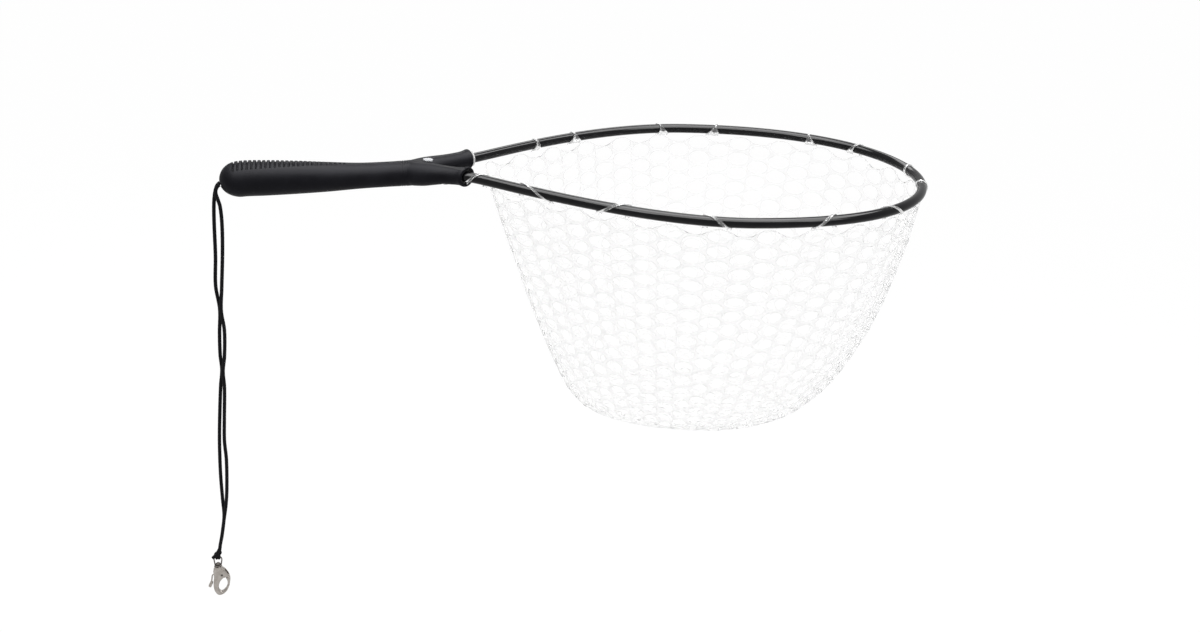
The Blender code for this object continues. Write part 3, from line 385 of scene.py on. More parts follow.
lanyard = {
    "diameter": 3.0 * mm,
    "tail": Vector((-91.8, 0.0, -15.0)) * mm,
    "tilt": math.radians(40.0),
    "turnRadius": 3.0 * mm,
    "pinDepth": 11.3 * mm,
    "pivotOut": 0.2 * mm,
    "turnGap": 0.3 * mm,
    "lead": 1.0 * mm,
    "sides": 20,
    "step": 0.5 * mm,
    "plaits": 4,  # ridges each way round the braid
    "plaitLength": 7.0 * mm,
    "ridge": 0.055,
    "farRoute": [
        (-94.2, 2.9, -17.6), (-95.2, 2.7, -20.2), (-96.2, 2.4, -24.7), (-97.0, 2.0, -32.0),
        (-97.4, 1.8, -46.0), (-97.4, 1.7, -76.0), (-98.2, 1.7, -101.6), (-95.7, 1.7, -122.0),
        (-96.6, 1.7, -143.0), (-96.8, 1.7, -162.0), (-95.9, 1.7, -176.0), (-97.4, 1.7, -191.0),
        (-99.2, 1.7, -220.0), (-100.2, 1.7, -243.0), (-100.4, 1.7, -272.0), (-99.6, 1.7, -297.0),
        (-98.9, 1.7, -314.0), (-101.2, 1.7, -333.0), (-103.0, 1.7, -342.0), (-103.4, 1.7, -345.5),
    ],
    "nearRoute": [
        (-94.1, -2.9, -17.6), (-94.9, -2.7, -20.3), (-94.7, -2.5, -23.2), (-93.5, -2.2, -27.5),
        (-92.0, -1.9, -33.5), (-91.1, -1.7, -48.0), (-91.5, -1.7, -71.0), (-93.2, -1.7, -102.0),
        (-94.3, -1.7, -122.0), (-92.4, -1.7, -139.0), (-93.1, -1.7, -162.0), (-94.7, -1.7, -176.0),
        (-94.1, -1.7, -191.0), (-95.2, -1.7, -220.0), (-95.8, -1.7, -240.0), (-94.8, -1.7, -258.0),
        (-95.4, -1.7, -286.0), (-96.6, -1.7, -301.0), (-98.8, -1.7, -316.0), (-101.0, -1.7, -331.0),
        (-103.0, -1.7, -342.0), (-103.4, -1.7, -345.5),
    ],
    "knotNeck": Vector((-105.3, 0.0, -350.3)) * mm,
    "knotRing": 2.3 * mm,
    "knotTilt": math.radians(-26.0),
    "bailLoops": (-106.3 * mm, -104.3 * mm),
    "bailTop": -352.9 * mm,
    "bailRing": 1.9 * mm,
    "knotEnd": [
        (-104.4, -1.6, -349.6), (-106.2, -2.5, -350.3), (-107.9, -2.9, -351.4), (-109.4, -3.0, -352.9),
    ],
    "wrapShare": 0.94,  # how thick the cord is where the knot presses it
    "bailLoopShare": 0.74,
    "stubLap": 0.3 * mm,  # the knot's stubs lap over the ends of the strands
    "stubRise": 0.6 * mm,
    "stubPinch": 0.7,
    "stubStep": 0.4 * mm,
}
cordWay = Vector((-math.cos(lanyard["tilt"]), 0.0, -math.sin(lanyard["tilt"])))


def braid(step):  # how far the plaits stand out at a step and an angle
    def swell(index, angle):
        along = 2 * math.pi * index * step / lanyard["plaitLength"]
        ways = [abs(math.sin(lanyard["plaits"] / 2 * angle + sign * along)) for sign in (-1, 1)]
        return 1.0 + lanyard["ridge"] * (max(ways) - 1.0)
    return swell


def cordPiece(name, line, closed=False, share=1.0):
    radius = lanyard["diameter"] / 2 * share
    return sweep(name, line, radius, lanyard["sides"], braidedCord, closed, braid(lanyard["step"]))


def insideTail(depth):
    return lanyard["tail"] - cordWay * depth


def strand(name, side, route):
    start = insideTail(-lanyard["pivotOut"]) + Vector((0.0, side * lanyard["turnRadius"], 0.0))
    lead = start + cordWay * lanyard["lead"]
    spots = [lead] + [Vector(spot) * mm for spot in route]
    line = [start] + smoothLine(spots, lanyard["step"], cordWay)
    line = evenLine(line, lanyard["step"])
    piece = cordPiece(name, line)
    return piece, line, start


def lineLength(line):
    return sum((after - before).length for before, after in zip(line, line[1:]))


def joinPieces(name, pieces):
    first = pieces[0]
    with bpy.context.temp_override(active_object=first, selected_editable_objects=pieces):
        bpy.ops.object.join()
    first.name = name
    return first


def turnInTail():
    pin = insideTail(lanyard["pinDepth"])
    radius = lanyard["turnRadius"]
    end = insideTail(lanyard["diameter"] / 2 + lanyard["turnGap"] - lanyard["pivotOut"])
    dense = [end - Vector((0.0, radius, 0.0))]
    for degrees in range(-90, 91, 5):
        angle = math.radians(degrees)
        around = pin - cordWay * radius * math.cos(angle)
        dense.append(around + Vector((0.0, radius * math.sin(angle), 0.0)))
    dense.append(end + Vector((0.0, radius, 0.0)))
    return cordPiece("turnInTail", evenLine(dense, lanyard["step"]))


def knotRing(name, middle, radius, axis, tilt, share):
    line = []
    count = max(24, round(2 * math.pi * radius / lanyard["step"]))
    for index in range(count):
        angle = 2 * math.pi * index / count
        across, up = radius * math.cos(angle), radius * math.sin(angle)
        spot = Vector((0.0, across, up)) if axis == "X" else Vector((across, up, 0.0))
        spot.rotate(Matrix.Rotation(tilt, 3, "Y"))
        line.append(middle + spot)
    return cordPiece(name, line, True, share)


def makeKnot():
    neck, ring = lanyard["knotNeck"], lanyard["knotRing"]
    pieces = []
    for name, route in (("knotStubFar", lanyard["farRoute"]), ("knotStubNear", lanyard["nearRoute"])):
        end = Vector(route[-1]) * mm
        top = end - upright * lanyard["stubLap"]
        low = Vector((neck.x, end.y * lanyard["stubPinch"], neck.z + lanyard["stubRise"]))
        pieces.append(cordPiece(name, evenLine([top, low], lanyard["stubStep"])))
    pieces.append(knotRing("knotWrap", neck, ring, "Z", lanyard["knotTilt"], lanyard["wrapShare"]))
    for index, place in enumerate(lanyard["bailLoops"]):
        middle = Vector((place, 0.0, lanyard["bailTop"]))
        loop = knotRing(
            "bailLoop%d" % index, middle, lanyard["bailRing"], "X", 0.0, lanyard["bailLoopShare"],
        )
        pieces.append(loop)
    route = [Vector(spot) * mm for spot in lanyard["knotEnd"]]
    pieces.append(cordPiece("knotEnd", smoothLine(route, lanyard["step"])))
    knot = joinPieces("cordKnot", pieces)
    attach(knot, "lanyard")
    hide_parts("lanyard_knot")
    return knot


turn = turnInTail()
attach(turn, "net")
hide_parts("lanyard_bight")
knot = makeKnot()
for word, side, route in (("Far", 1, lanyard["farRoute"]), ("Near", -1, lanyard["nearRoute"])):
    piece, line, start = strand("strand" + word, side, route)
    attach(piece, "lanyard")
    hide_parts("lanyard_strand_" + word.lower())
    print("strand", word, round(lineLength(line), 4), "m")
print("lanyard laid")

# rim tube

hoop = {
    "radius": 4.0 * mm,
    "mouth": Vector((105.0, 26.5, 0.0)) * mm,
    "legAngle": math.radians(28.0),
    "legReach": 18.1 * mm,
    "wide": Vector((305.9, 132.0, 0.0)) * mm,
    "backReach": 88.9 * mm,
    "frontReach": 119.6 * mm,
    "tip": Vector((477.8, 0.0, 0.0)) * mm,
    "tipReach": 63.3 * mm,
    "insert": 32.0 * mm,
    "sides": 32,
    "step": 2.5 * mm,
    "bezierSteps": 240,
}


def legWay(side):
    return Vector((math.cos(hoop["legAngle"]), side * math.sin(hoop["legAngle"]), 0.0))


def legMouth(side):
    return Vector((hoop["mouth"].x, side * hoop["mouth"].y, 0.0))


def hoopLine(steps):
    mouth, wide, tip = legMouth(1), hoop["wide"], hoop["tip"]
    leave = mouth + legWay(1) * hoop["legReach"]
    back = wide - Vector((hoop["backReach"], 0.0, 0.0))
    ahead = wide + Vector((hoop["frontReach"], 0.0, 0.0))
    half = interpolate_bezier(mouth, leave, back, wide, steps)[:-1]
    half += interpolate_bezier(wide, ahead, tip + Vector((0.0, hoop["tipReach"], 0.0)), tip, steps)
    near = [Vector((spot.x, -spot.y, 0.0)) for spot in half]
    return near + list(reversed(half[:-1]))


def makeRim():
    ends = [legMouth(side) - legWay(side) * hoop["insert"] for side in (-1, 1)]
    line = evenLine([ends[0]] + hoopLine(hoop["bezierSteps"]) + [ends[1]], hoop["step"])
    rim = sweep("rimTube", line, hoop["radius"], hoop["sides"], blackAnodised)
    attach(rim, "net")
    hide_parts("rim_tube")
    return rim


rim = makeRim()
print("rim bent")

# handle

grip = {
    "tailX": -91.8 * mm,
    "tailZ": -14.6 * mm,
    "tailWidth": 28.4 * mm,
    "tailRounding": 15.8 * mm,
    # place along the grip, height of its middle, width, in mm
    "stations": [
        (-76.0, -10.9, 28.4), (-57.0, -9.9, 28.0), (-32.0, -9.1, 26.2), (-8.0, -8.4, 23.6),
        (17.0, -7.2, 20.7), (42.0, -5.5, 20.1), (56.0, -4.4, 20.5), (68.0, -3.1, 20.0),
    ],
    "shellStep": 1.5 * mm,
    "shellSides": 72,
    # way back from the mouth, height of the middle, radius, in mm
    "legStations": [
        (52.0, -4.2, 9.8), (42.0, -3.2, 9.6), (33.0, -2.2, 8.7), (22.0, -1.2, 7.5),
        (9.0, -0.4, 7.1), (4.5, -0.1, 7.4), (1.2, 0.0, 8.2), (0.0, 0.0, 8.0),
    ],
    "legStep": 1.0,
    "lipStep": 0.25,
    "lipFrom": 4.0,
    "legSides": 64,
    "webX": 69.0 * mm,
    "webSize": Vector((21.0, 14.0, 11.5)) * mm,
    "webDrop": 2.1 * mm,
    "webSides": 48,
    "facetZ": 6.15 * mm,
    "facetStart": 57.0 * mm,
    "facetEnd": 98.0 * mm,
    "facetFadeIn": 3.0 * mm,
    "facetFadeOut": 4.0 * mm,
    "facetRise": 0.8 * mm,
    "voxel": 0.5 * mm,
    "fineVoxel": 0.45 * mm,
    "roundOff": 6,  # rounds of smoothing before and after the cuts
    "fineRoundOff": 3,
    "slotHalf": 3.0 * mm,
    "slotRadius": 1.8 * mm,
    "slotOut": 3.0 * mm,
    "slotPastPin": 4.8 * mm,
    "grooves": 25,
    "grooveFirst": -81.0 * mm,
    "groovePitch": 3.57 * mm,
    "grooveHalf": 0.80 * mm,
    "grooveFlat": 0.28 * mm,
    "grooveDepth": 1.4 * mm,
    "grooveRear": 44.0,
    "grooveFront": 10.0,
    "groovePower": 1.5,
    "grooveShallower": 0.25,  # the depth that the last one has lost
    "grooveMargin": 2.0 * mm,
    "grooveTop": 0.62,  # finer faces above this share of the radius
    "neckStart": 48.0 * mm,
    "neckEnd": 55.0 * mm,
    "neckReach": 20.0 * mm,
    "neckGrooves": (49.5 * mm, 51.4 * mm, 53.3 * mm),
    "neckHalf": 0.62 * mm,
    "neckDepth": 0.3 * mm,
    "nearMouthBack": 5.4 * mm,
    "nearMouthSlant": 0.36,
    "bushRadius": 5.9 * mm,
    "bushDepth": 8.9 * mm,
    "badgeX": 70.4 * mm,
    "badgeSeat": 4.3 * mm,
    "badgeSeatZ": 5.5 * mm,
    "screwBack": 24.0 * mm,
    "screwSeat": 3.1 * mm,
    "screwSeatZ": (-14.6 * mm, -6.3 * mm),
    "tubeSeat": 4.3 * mm,
    "tubeDepth": 32.3 * mm,
    "cutOut": 6.0 * mm,  # how far the cutting tools stand out of the rubber
}


def gripMiddle(place):
    rows = [(grip["tailX"] / mm, grip["tailZ"] / mm, grip["tailWidth"] / mm)] + grip["stations"]
    height, width = between(rows, place / mm)
    radius = width * mm / 2
    into = place - grip["tailX"]
    if into < grip["tailRounding"]:
        radius *= math.sqrt(max(1.0 - (1.0 - into / grip["tailRounding"]) ** 2, 0.0))
    return height * mm, radius


def gripShell():
    places = []
    for degrees in range(3, 90, 3):
        places.append(grip["tailX"] + grip["tailRounding"] * (1.0 - math.cos(math.radians(degrees))))
    place = places[-1]
    last = grip["stations"][-1][0] * mm
    while place < last:
        place += grip["shellStep"]
        places.append(min(place, last))
    line, radii = [], []
    for place in places:
        height, radius = gripMiddle(place)
        line.append(Vector((place, 0.0, height)))
        radii.append(radius)
    return sweep("gripShell", line, radii, grip["shellSides"])


def mouthBack(side, share=1.0):
    return grip["nearMouthBack"] * share if side < 0 else 0.0


def slantMouth(side, made, fadeFrom=24.0 * mm, fadeTo=9.0 * mm):  # the near mouth opens outward
    if side > 0:
        return made
    mouth, way = legMouth(side), legWay(side)
    inward = Vector((-way.y, way.x, 0.0))
    for vert in made.data.vertices:
        off = vert.co - mouth
        share = min(max((off.dot(way) + fadeFrom) / (fadeFrom - fadeTo), 0.0), 1.0)
        vert.co += way * grip["nearMouthSlant"] * off.dot(inward) * share * share * (3.0 - 2.0 * share)
    return made


def legShell(side):
    line, radii = [], []
    place = longest = grip["legStations"][0][0]
    while place >= 0.0:
        droop, radius = between(grip["legStations"], place)
        spot = legMouth(side) - legWay(side) * (place * mm + mouthBack(side, 1.0 - place / longest))
        line.append(spot + Vector((0.0, 0.0, droop * mm)))
        radii.append(radius * mm)
        place -= grip["legStep"] if place > grip["lipFrom"] else grip["lipStep"]
    return slantMouth(side, sweep("legShell", line, radii, grip["legSides"]))


def webShell():
    line, radii = [], []
    for degrees in range(4, 177, 4):
        angle = math.radians(degrees)
        line.append(Vector((grip["webX"] - math.cos(angle) * grip["webSize"].x / 2, 0.0, 0.0)))
        radii.append(math.sin(angle))
    web = sweep("webShell", line, radii, grip["webSides"])
    for vert in web.data.vertices:
        vert.co.y *= grip["webSize"].y / 2
        vert.co.z = vert.co.z * grip["webSize"].z / 2 - grip["webDrop"]
    return web


def tailSlot():
    half, radius = Vector((0.0, grip["slotHalf"], 0.0)), grip["slotRadius"]
    start = insideTail(-grip["slotOut"])
    end = insideTail(lanyard["pinDepth"] + grip["slotPastPin"] - radius)
    tools = [rod("slotSide", start + half * sign, end + half * sign, radius, 24) for sign in (-1, 1)]
    corners = []
    upWay = Vector((-math.sin(lanyard["tilt"]), 0.0, math.cos(lanyard["tilt"])))
    for along in (start, end):
        for sign in (-1, 1):
            for lift in (-radius, radius):
                corners.append(along + half * sign + upWay * lift)
    faces = [(0, 1, 3, 2), (4, 6, 7, 5), (0, 4, 5, 1), (2, 3, 7, 6), (0, 2, 6, 4), (1, 5, 7, 3)]
    tools.append(meshFrom("slotMiddle", corners, faces, smooth=False))
    return tools


def grooveSpan():
    last = grip["grooveFirst"] + grip["groovePitch"] * (grip["grooves"] - 1)
    return grip["grooveFirst"] - grip["grooveMargin"], last + grip["grooveMargin"]


def refineGrooves(made):  # four faces for one where the thumb grooves go
    work = bmesh.new()
    work.from_mesh(made.data)
    low, high = grooveSpan()
    edges = {}  # keeps their order
    for face in work.faces:
        middle = face.calc_center_median()
        if low < middle.x < high:
            height, radius = gripMiddle(middle.x)
            if middle.z > height + radius * grip["grooveTop"]:
                edges.update(dict.fromkeys(face.edges))
    bmesh.ops.subdivide_edges(work, edges=list(edges), cuts=1, use_grid_fill=True)
    work.to_mesh(made.data)
    work.free()


def roundedCut(deep, share):  # full depth at 0, none from 1
    return deep * (0.5 + 0.5 * math.cos(math.pi * min(share, 1.0)))


def thumbGroove(x, y, z, height, radius):  # depth at a place of the grip
    index = round((x - grip["grooveFirst"]) / grip["groovePitch"])
    index = min(max(index, 0), grip["grooves"] - 1)
    share = index / (grip["grooves"] - 1)
    rear, front = math.radians(grip["grooveRear"]), math.radians(grip["grooveFront"])
    reach = rear + (front - rear) * share ** grip["groovePower"]
    past = max(abs(math.atan2(y, z - height)) - reach, 0.0) * radius
    away = math.hypot(x - grip["grooveFirst"] - grip["groovePitch"] * index, past)
    wall = max(away - grip["grooveFlat"], 0.0) / (grip["grooveHalf"] - grip["grooveFlat"])
    return roundedCut(grip["grooveDepth"] * (1.0 - grip["grooveShallower"] * share), wall)


def neckGroove(x):
    away = min(abs(x - place) for place in grip["neckGrooves"])
    return roundedCut(grip["neckDepth"], away / grip["neckHalf"])


def forkTop(x):  # height of the flat on top of the fork
    fadeIn = (x - grip["facetStart"]) / grip["facetFadeIn"]
    fadeOut = (grip["facetEnd"] - x) / grip["facetFadeOut"]
    return grip["facetZ"] + (1.0 - min(fadeIn, fadeOut, 1.0)) * grip["facetRise"]


def carveGrip(made):
    low, high = grooveSpan()
    for vert in made.data.vertices:
        x, y, z = vert.co
        grooved = low < x < high
        fork = x > grip["neckStart"] and abs(z) < grip["neckReach"]
        if grooved or (fork and x < grip["neckEnd"]):
            height, radius = gripMiddle(x)
            deep = thumbGroove(x, y, z, height, radius) if grooved else neckGroove(x)
            vert.co += Vector((0.0, -y, height - z)).normalized() * deep
        if fork and grip["facetStart"] < x < grip["facetEnd"]:
            vert.co.z = min(vert.co.z, forkTop(x))


def makeHandle():
    shells = [gripShell(), legShell(-1), legShell(1), webShell()]
    handle = remesh(joinPieces("gripHandle", shells), grip["voxel"])
    relax(handle, grip["roundOff"])
    tools = tailSlot()
    for side in (-1, 1):
        mouth, way = legMouth(side), legWay(side)
        front = mouth + way * grip["cutOut"]
        deep = grip["bushDepth"] + mouthBack(side)
        tools.append(rod("bushSeat", front, mouth - way * deep, grip["bushRadius"]))
        tools.append(rod("tubeSeat", front, mouth - way * grip["tubeDepth"], grip["tubeSeat"]))
        spot = mouth - way * grip["screwBack"]
        low, high = (Vector((spot.x, spot.y, z)) for z in grip["screwSeatZ"])
        tools.append(rod("screwRecess", low, high, grip["screwSeat"]))
    low = Vector((grip["badgeX"], 0.0, grip["badgeSeatZ"]))
    tools.append(rod("badgeSeat", low, low + upright * grip["cutOut"], grip["badgeSeat"]))
    cutAway(handle, tools)
    remesh(handle, grip["fineVoxel"])
    relax(handle, grip["fineRoundOff"])
    refineGrooves(handle)
    carveGrip(handle)
    handle.data.materials.clear()
    handle.data.materials.append(gripRubber)
    handle.data.shade_smooth()
    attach(handle, "net")
    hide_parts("handle")
    print("handle faces", len(handle.data.polygons))
    return handle


nearBush = {
    "bore": 4.35 * mm,
    "outer": 5.75 * mm,
    "bevel": 0.3 * mm,
    "setBack": 0.9 * mm,  # its face stands behind the lip
    "short": 0.3 * mm,  # and its end in front of the seat's floor
    "fadeFrom": 15.0 * mm,
    "sides": 48,
}


def makeNearBush():  # lines the near mouth behind its slanted lip
    way, mouth = legWay(-1), legMouth(-1)
    inward = upright.cross(way)
    face = -(mouthBack(-1) + nearBush["setBack"])
    deep = -(grip["bushDepth"] + mouthBack(-1) - nearBush["short"])
    bore, outer, bevel = nearBush["bore"], nearBush["outer"], nearBush["bevel"]
    ring = [
        (bore, deep), (outer, deep), (outer, face - bevel), (outer - bevel, face),
        (bore + bevel, face), (bore, face - bevel),
    ]
    spots, faces, turns = [], [], nearBush["sides"]
    for turn in range(turns):
        angle = 2 * math.pi * turn / turns
        outward = inward * math.cos(angle) + upright * math.sin(angle)
        spots += [mouth + outward * radius + way * along for radius, along in ring]
    for turn in range(turns):
        for at in range(len(ring)):
            low, high = turn * len(ring), (turn + 1) % turns * len(ring)
            after = (at + 1) % len(ring)
            faces.append((low + at, low + after, high + after, high + at))
    bush = meshFrom("socketBushNear", spots, faces, blackPlastic)
    slantMouth(-1, bush, nearBush["fadeFrom"])
    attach(bush, "net")
    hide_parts("socket_bush_near")


handle = makeHandle()
makeNearBush()
print("handle moulded")

# net bag: one moulded lattice of flat-topped six-sided cells, its top row threaded on the rim

bag = {
    "startX": 118.0 * mm,
    "depth": 208.0 * mm,
    "topZ": -5.3 * mm,
    "floorX": 296.0 * mm,
    "floorLength": 174.0 * mm,
    "floorWidth": 112.0 * mm,
    "sag": 4.0 * mm,
    "straightBack": 0.70,
    "straightFront": 0.25,
    "columns": 52,
    "rows": 16,
    "strand": 1.9 * mm,
    "inset": 0.5,  # of the strand, from the edge of a cell
    "thickness": 0.95,
    "floorColumn": 13.0 * mm,
    "floorRow": 14.6 * mm,
    "floorCellsTo": 0.94,  # shares of the way from the floor's middle to its edge
    "floorCornersTo": 0.93,
    "floorEdge": 0.985,
    "edgeSides": 10,
    "wander": 1.1 * mm,
    "seed": 5,
    "wanderScale": 38.0,
    "driftScale": 9.0,
    "drift": 2.2,  # of the wander
    "heldTop": 6.0,  # the top row stays on the rim
    "ringSteps": 160,
    "backSteps": 24,
    "columnSteps": 48,
    "edgeSteps": 240,
}
# six corners of a cell, in column and row pitches from its middle
cellCorners = [(-2 / 3, 0.0), (-1 / 3, 0.5), (1 / 3, 0.5), (2 / 3, 0.0), (1 / 3, -0.5), (-1 / 3, -0.5)]


def bagRing():  # the part of the hoop that holds the bag, closed straight across the back
    line = [spot for spot in hoopLine(bag["ringSteps"]) if spot.x > bag["startX"]]
    first, last, steps = line[0], line[-1], bag["backSteps"]
    return line + [last.lerp(first, index / steps) for index in range(1, steps + 1)]


ringLine = bagRing()
ringWalked = walkedAlong(ringLine)


def ringSpot(share):
    return spotAt(ringLine, ringWalked, (share % 1.0) * ringWalked[-1])


def bagSpot(spot, share):
    reachX = hoop["tip"].x - bag["floorX"]
    around = math.atan2(spot.y / hoop["wide"].y, (spot.x - bag["floorX"]) / reachX)
    middle = (bag["straightBack"] + bag["straightFront"]) / 2
    straight = middle + (bag["straightFront"] - middle) * math.cos(around)
    inward = straight * share + (1.0 - straight) * (1.0 - math.sqrt(max(1.0 - share**2, 0.0)))
    floor = Vector((
        bag["floorX"] + math.cos(around) * bag["floorLength"] / 2,
        math.sin(around) * bag["floorWidth"] / 2, 0.0,
    ))
    flat = spot.lerp(floor, inward)
    return Vector((flat.x, flat.y, bag["topZ"] - (bag["depth"] + bag["topZ"]) * share))


def bagColumn(share):  # the wall below one place of the rim
    top, steps = ringSpot(share), bag["columnSteps"]
    spots = [bagSpot(top, math.sin(math.pi / 2 * index / steps)) for index in range(steps + 1)]
    return spots, walkedAlong(spots)


columnStore = {}


def wallSpot(share, depthShare):
    key = round(share % 1.0, 6)
    if key not in columnStore:
        columnStore[key] = bagColumn(share)
    spots, walked = columnStore[key]
    return spotAt(spots, walked, min(max(depthShare, 0.0), 1.0) * walked[-1])


def wander(spot, share):  # soft rubber cells are never quite even
    fine = noise.noise_vector(spot * bag["wanderScale"]) * bag["wander"]
    broad = noise.noise_vector(spot * bag["driftScale"]) * bag["drift"] * bag["wander"]
    return spot + (fine + broad) * min(share * bag["heldTop"], 1.0)


def cornerKey(column, row, across, down):  # whole numbers that neighbours share
    return round((column + across) * 3), round((row + down) * 2)


def latticeWall(work):
    made, cells = {}, []
    across3 = 3 * bag["columns"]
    for column in range(bag["columns"]):
        lift = 0.5 * (column % 2)
        for row in range(bag["rows"]):
            cell = []
            for across, down in cellCorners:
                at, level = cornerKey(column, row + lift, across, down)
                key = (at % across3, level)
                if key not in made:
                    share = (level + 1) / (2 * bag["rows"] + 1)
                    spot = wallSpot(key[0] / across3, share)
                    made[key] = work.verts.new(wander(spot, share))
                cell.append(made[key])
            cells.append(work.faces.new(cell))
    return cells


def floorShare(x, y):  # 0 in the middle of the floor, 1 at its edge
    return math.hypot(x / bag["floorLength"] * 2, y / bag["floorWidth"] * 2)


def latticeFloor(work):
    made, cells = {}, []
    columns = math.ceil(bag["floorLength"] / 2 / bag["floorColumn"]) + 1
    rows = math.ceil(bag["floorWidth"] / 2 / bag["floorRow"]) + 1
    for column in range(-columns, columns + 1):
        lift = 0.5 * (column % 2)
        for row in range(-rows, rows + 1):
            middle = column * bag["floorColumn"], (row + lift) * bag["floorRow"]
            if floorShare(*middle) > bag["floorCellsTo"]:
                continue
            cell = []
            for across, down in cellCorners:
                key = cornerKey(column, row + lift, across, down)
                if key not in made:
                    x, y = key[0] / 3 * bag["floorColumn"], key[1] / 2 * bag["floorRow"]
                    far = floorShare(x, y)
                    if far > bag["floorCornersTo"]:
                        x, y = x / far * bag["floorEdge"], y / far * bag["floorEdge"]
                        far = bag["floorEdge"]
                    z = -bag["depth"] - bag["sag"] * (1.0 - far**2)
                    spot = Vector((bag["floorX"] + x, y, z))
                    made[key] = work.verts.new(wander(spot, 1.0))
                cell.append(made[key])
            cells.append(work.faces.new(cell))
    return cells


def makeBag():
    noise.seed_set(bag["seed"])
    mesh = bpy.data.meshes.new("netBag")
    work = bmesh.new()
    cells = latticeWall(work)
    cells += latticeFloor(work)
    bmesh.ops.recalc_face_normals(work, faces=work.faces)
    inset = bag["strand"] * bag["inset"]
    bmesh.ops.inset_individual(work, faces=cells, thickness=inset, use_even_offset=True)
    bmesh.ops.delete(work, geom=cells, context="FACES_ONLY")
    work.to_mesh(mesh)
    work.free()
    lattice = addMesh("netBag", mesh, clearRubber)
    body = lattice.modifiers.new("body", "SOLIDIFY")
    body.thickness = bag["strand"] * bag["thickness"]
    body.offset = 0.0
    body.use_even_offset = False
    rounding = lattice.modifiers.new("rounding", "SUBSURF")
    rounding.levels = 1
    rounding.render_levels = 1
    settle(lattice)
    lattice.data.shade_smooth()
    steps = bag["edgeSteps"]
    line = [bagSpot(ringSpot(index / steps), 1.0) for index in range(steps)]
    edge = sweep("floorEdge", line, bag["strand"] / 2, bag["edgeSides"], clearRubber, True)
    made = joinPieces("netBag", [lattice, edge])
    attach(made, "net")
    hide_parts("net_bag")
    print("bag faces", len(made.data.polygons))


makeBag()
print("bag hung")

# hem: flat clear bands of the bag's top row that lap over the rim tube

hem = {
    "stand": 0.07 * mm,
    "web": 0.38 * mm,
    "bead": 0.85 * mm,
    "beadWidth": 1.0 * mm,
    "beadMost": 0.7,  # of the half width
    "beadRise": [(0.0, 0.35), (0.14, 0.75), (0.42, 1.0), (0.72, 0.8)],
    "foot": 0.9,
    "dip": 1.0 * mm,  # the ends leave the tube for the strand under it
    "dipFrom": 140.0,
    "dipOver": 34.0,
    "fromAngle": -84.0,
    "toAngle": 264.0,
    "steps": 44,
    "flareAngle": 140,  # past the top the band widens toward its inner side
    "flare": 1.25,
    "innerAngle": 225,
    # along the hoop from the near mouth, shift from outer to inner side, then half widths at the
    # outer side, over the top and at the inner side, all in mm; then the angle the shift is about
    "bands": [
        (1.8, 16.0, 1.9, 1.9, 2.0, 30), (58.0, -28.0, 1.9, 2.0, 2.2, 30),
        (123.5, 22.0, 2.4, 2.2, 1.9, 30), (203.4, -18.0, 2.0, 2.0, 2.1, 30),
        (287.6, 19.0, 2.0, 1.9, 2.1, 30), (358.0, -20.0, 2.0, 2.0, 2.2, 30),
        (438.5, 9.0, 1.7, 1.5, 2.2, 100), (483.0, -4.0, 1.6, 1.2, 2.4, 150),
        (554.0, 10.0, 1.5, 1.1, 3.4, 150), (599.0, -5.0, 1.5, 1.1, 5.0, 150),
        (686.0, 4.0, 1.4, 1.0, 5.8, 150), (736.5, -5.0, 1.4, 1.0, 4.8, 150),
        (827.5, 0.0, 1.5, 1.1, 6.8, 150), (871.0, 1.0, 1.5, 1.0, 3.9, 150),
    ],
    "loopOut": 2.1 * mm,  # the loop at the far socket
    "loopLean": 0.4 * mm,
    "loopReach": 5.2 * mm,
    "loopRadius": 1.2 * mm,
    "loopSteps": 48,
    "loopSides": 14,
}
rimLine = hoopLine(hoop["bezierSteps"])
rimWalked = walkedAlong(rimLine)


def rimSpot(walk):  # place and direction on the hoop, also a little way into the near socket
    if walk <= 0.0:
        return rimLine[0] + legWay(-1) * walk, legWay(-1)
    at = max(index for index, reached in enumerate(rimWalked[:-1]) if reached <= walk)
    way = (rimLine[at + 1] - rimLine[at]).normalized()
    return rimLine[at] + way * (walk - rimWalked[at]), way


def bandSection(half):  # rolled edges with a thin web between, as (along the rim, height)
    edge, foot = min(hem["beadWidth"], half * hem["beadMost"]), half * hem["foot"]
    left = [(-half + edge * place, hem["bead"] * height) for place, height in hem["beadRise"]]
    web = [(along, hem["web"]) for along in (-half + edge, 0.0, half - edge)]
    right = [(-along, height) for along, height in reversed(left)]
    return left + web + right + [(foot, 0.0), (0.0, 0.0), (-foot, 0.0)]


def hemBand(index, walk, shift, outer, over, inner, about):
    spots, faces, steps = [], [], hem["steps"]
    widths = [
        (-90, outer), (90, over), (hem["flareAngle"], over * hem["flare"]),
        (hem["innerAngle"], inner), (270, inner),
    ]
    for step in range(steps + 1):
        part = step / steps
        degrees = hem["fromAngle"] + (hem["toAngle"] - hem["fromAngle"]) * part
        angle = math.radians(degrees)
        half = between(widths, degrees)[0]
        moved = shift * (min(max((degrees - about) / 180 + 0.5, 0.0), 1.0) - 0.5)
        end = max(abs(degrees - 90.0) - hem["dipFrom"], 0.0) / hem["dipOver"]
        for along, height in bandSection(half * mm):
            spot, way = rimSpot((walk + moved) * mm + along)
            out = Vector((way.y, -way.x, 0.0))
            reach = hoop["radius"] + hem["stand"] + height + hem["dip"] * end * end
            spots.append(spot + (out * math.cos(angle) + upright * math.sin(angle)) * reach)
    count = len(bandSection(mm))
    for step in range(steps):
        low, high = step * count, (step + 1) * count
        for at in range(count):
            after = (at + 1) % count
            faces.append((low + at, high + at, high + after, low + after))
    faces.append(tuple(range(count)))
    faces.append(tuple(reversed(range(steps * count, (steps + 1) * count))))
    return meshFrom("hemBand%02d" % index, spots, faces, clearBand)


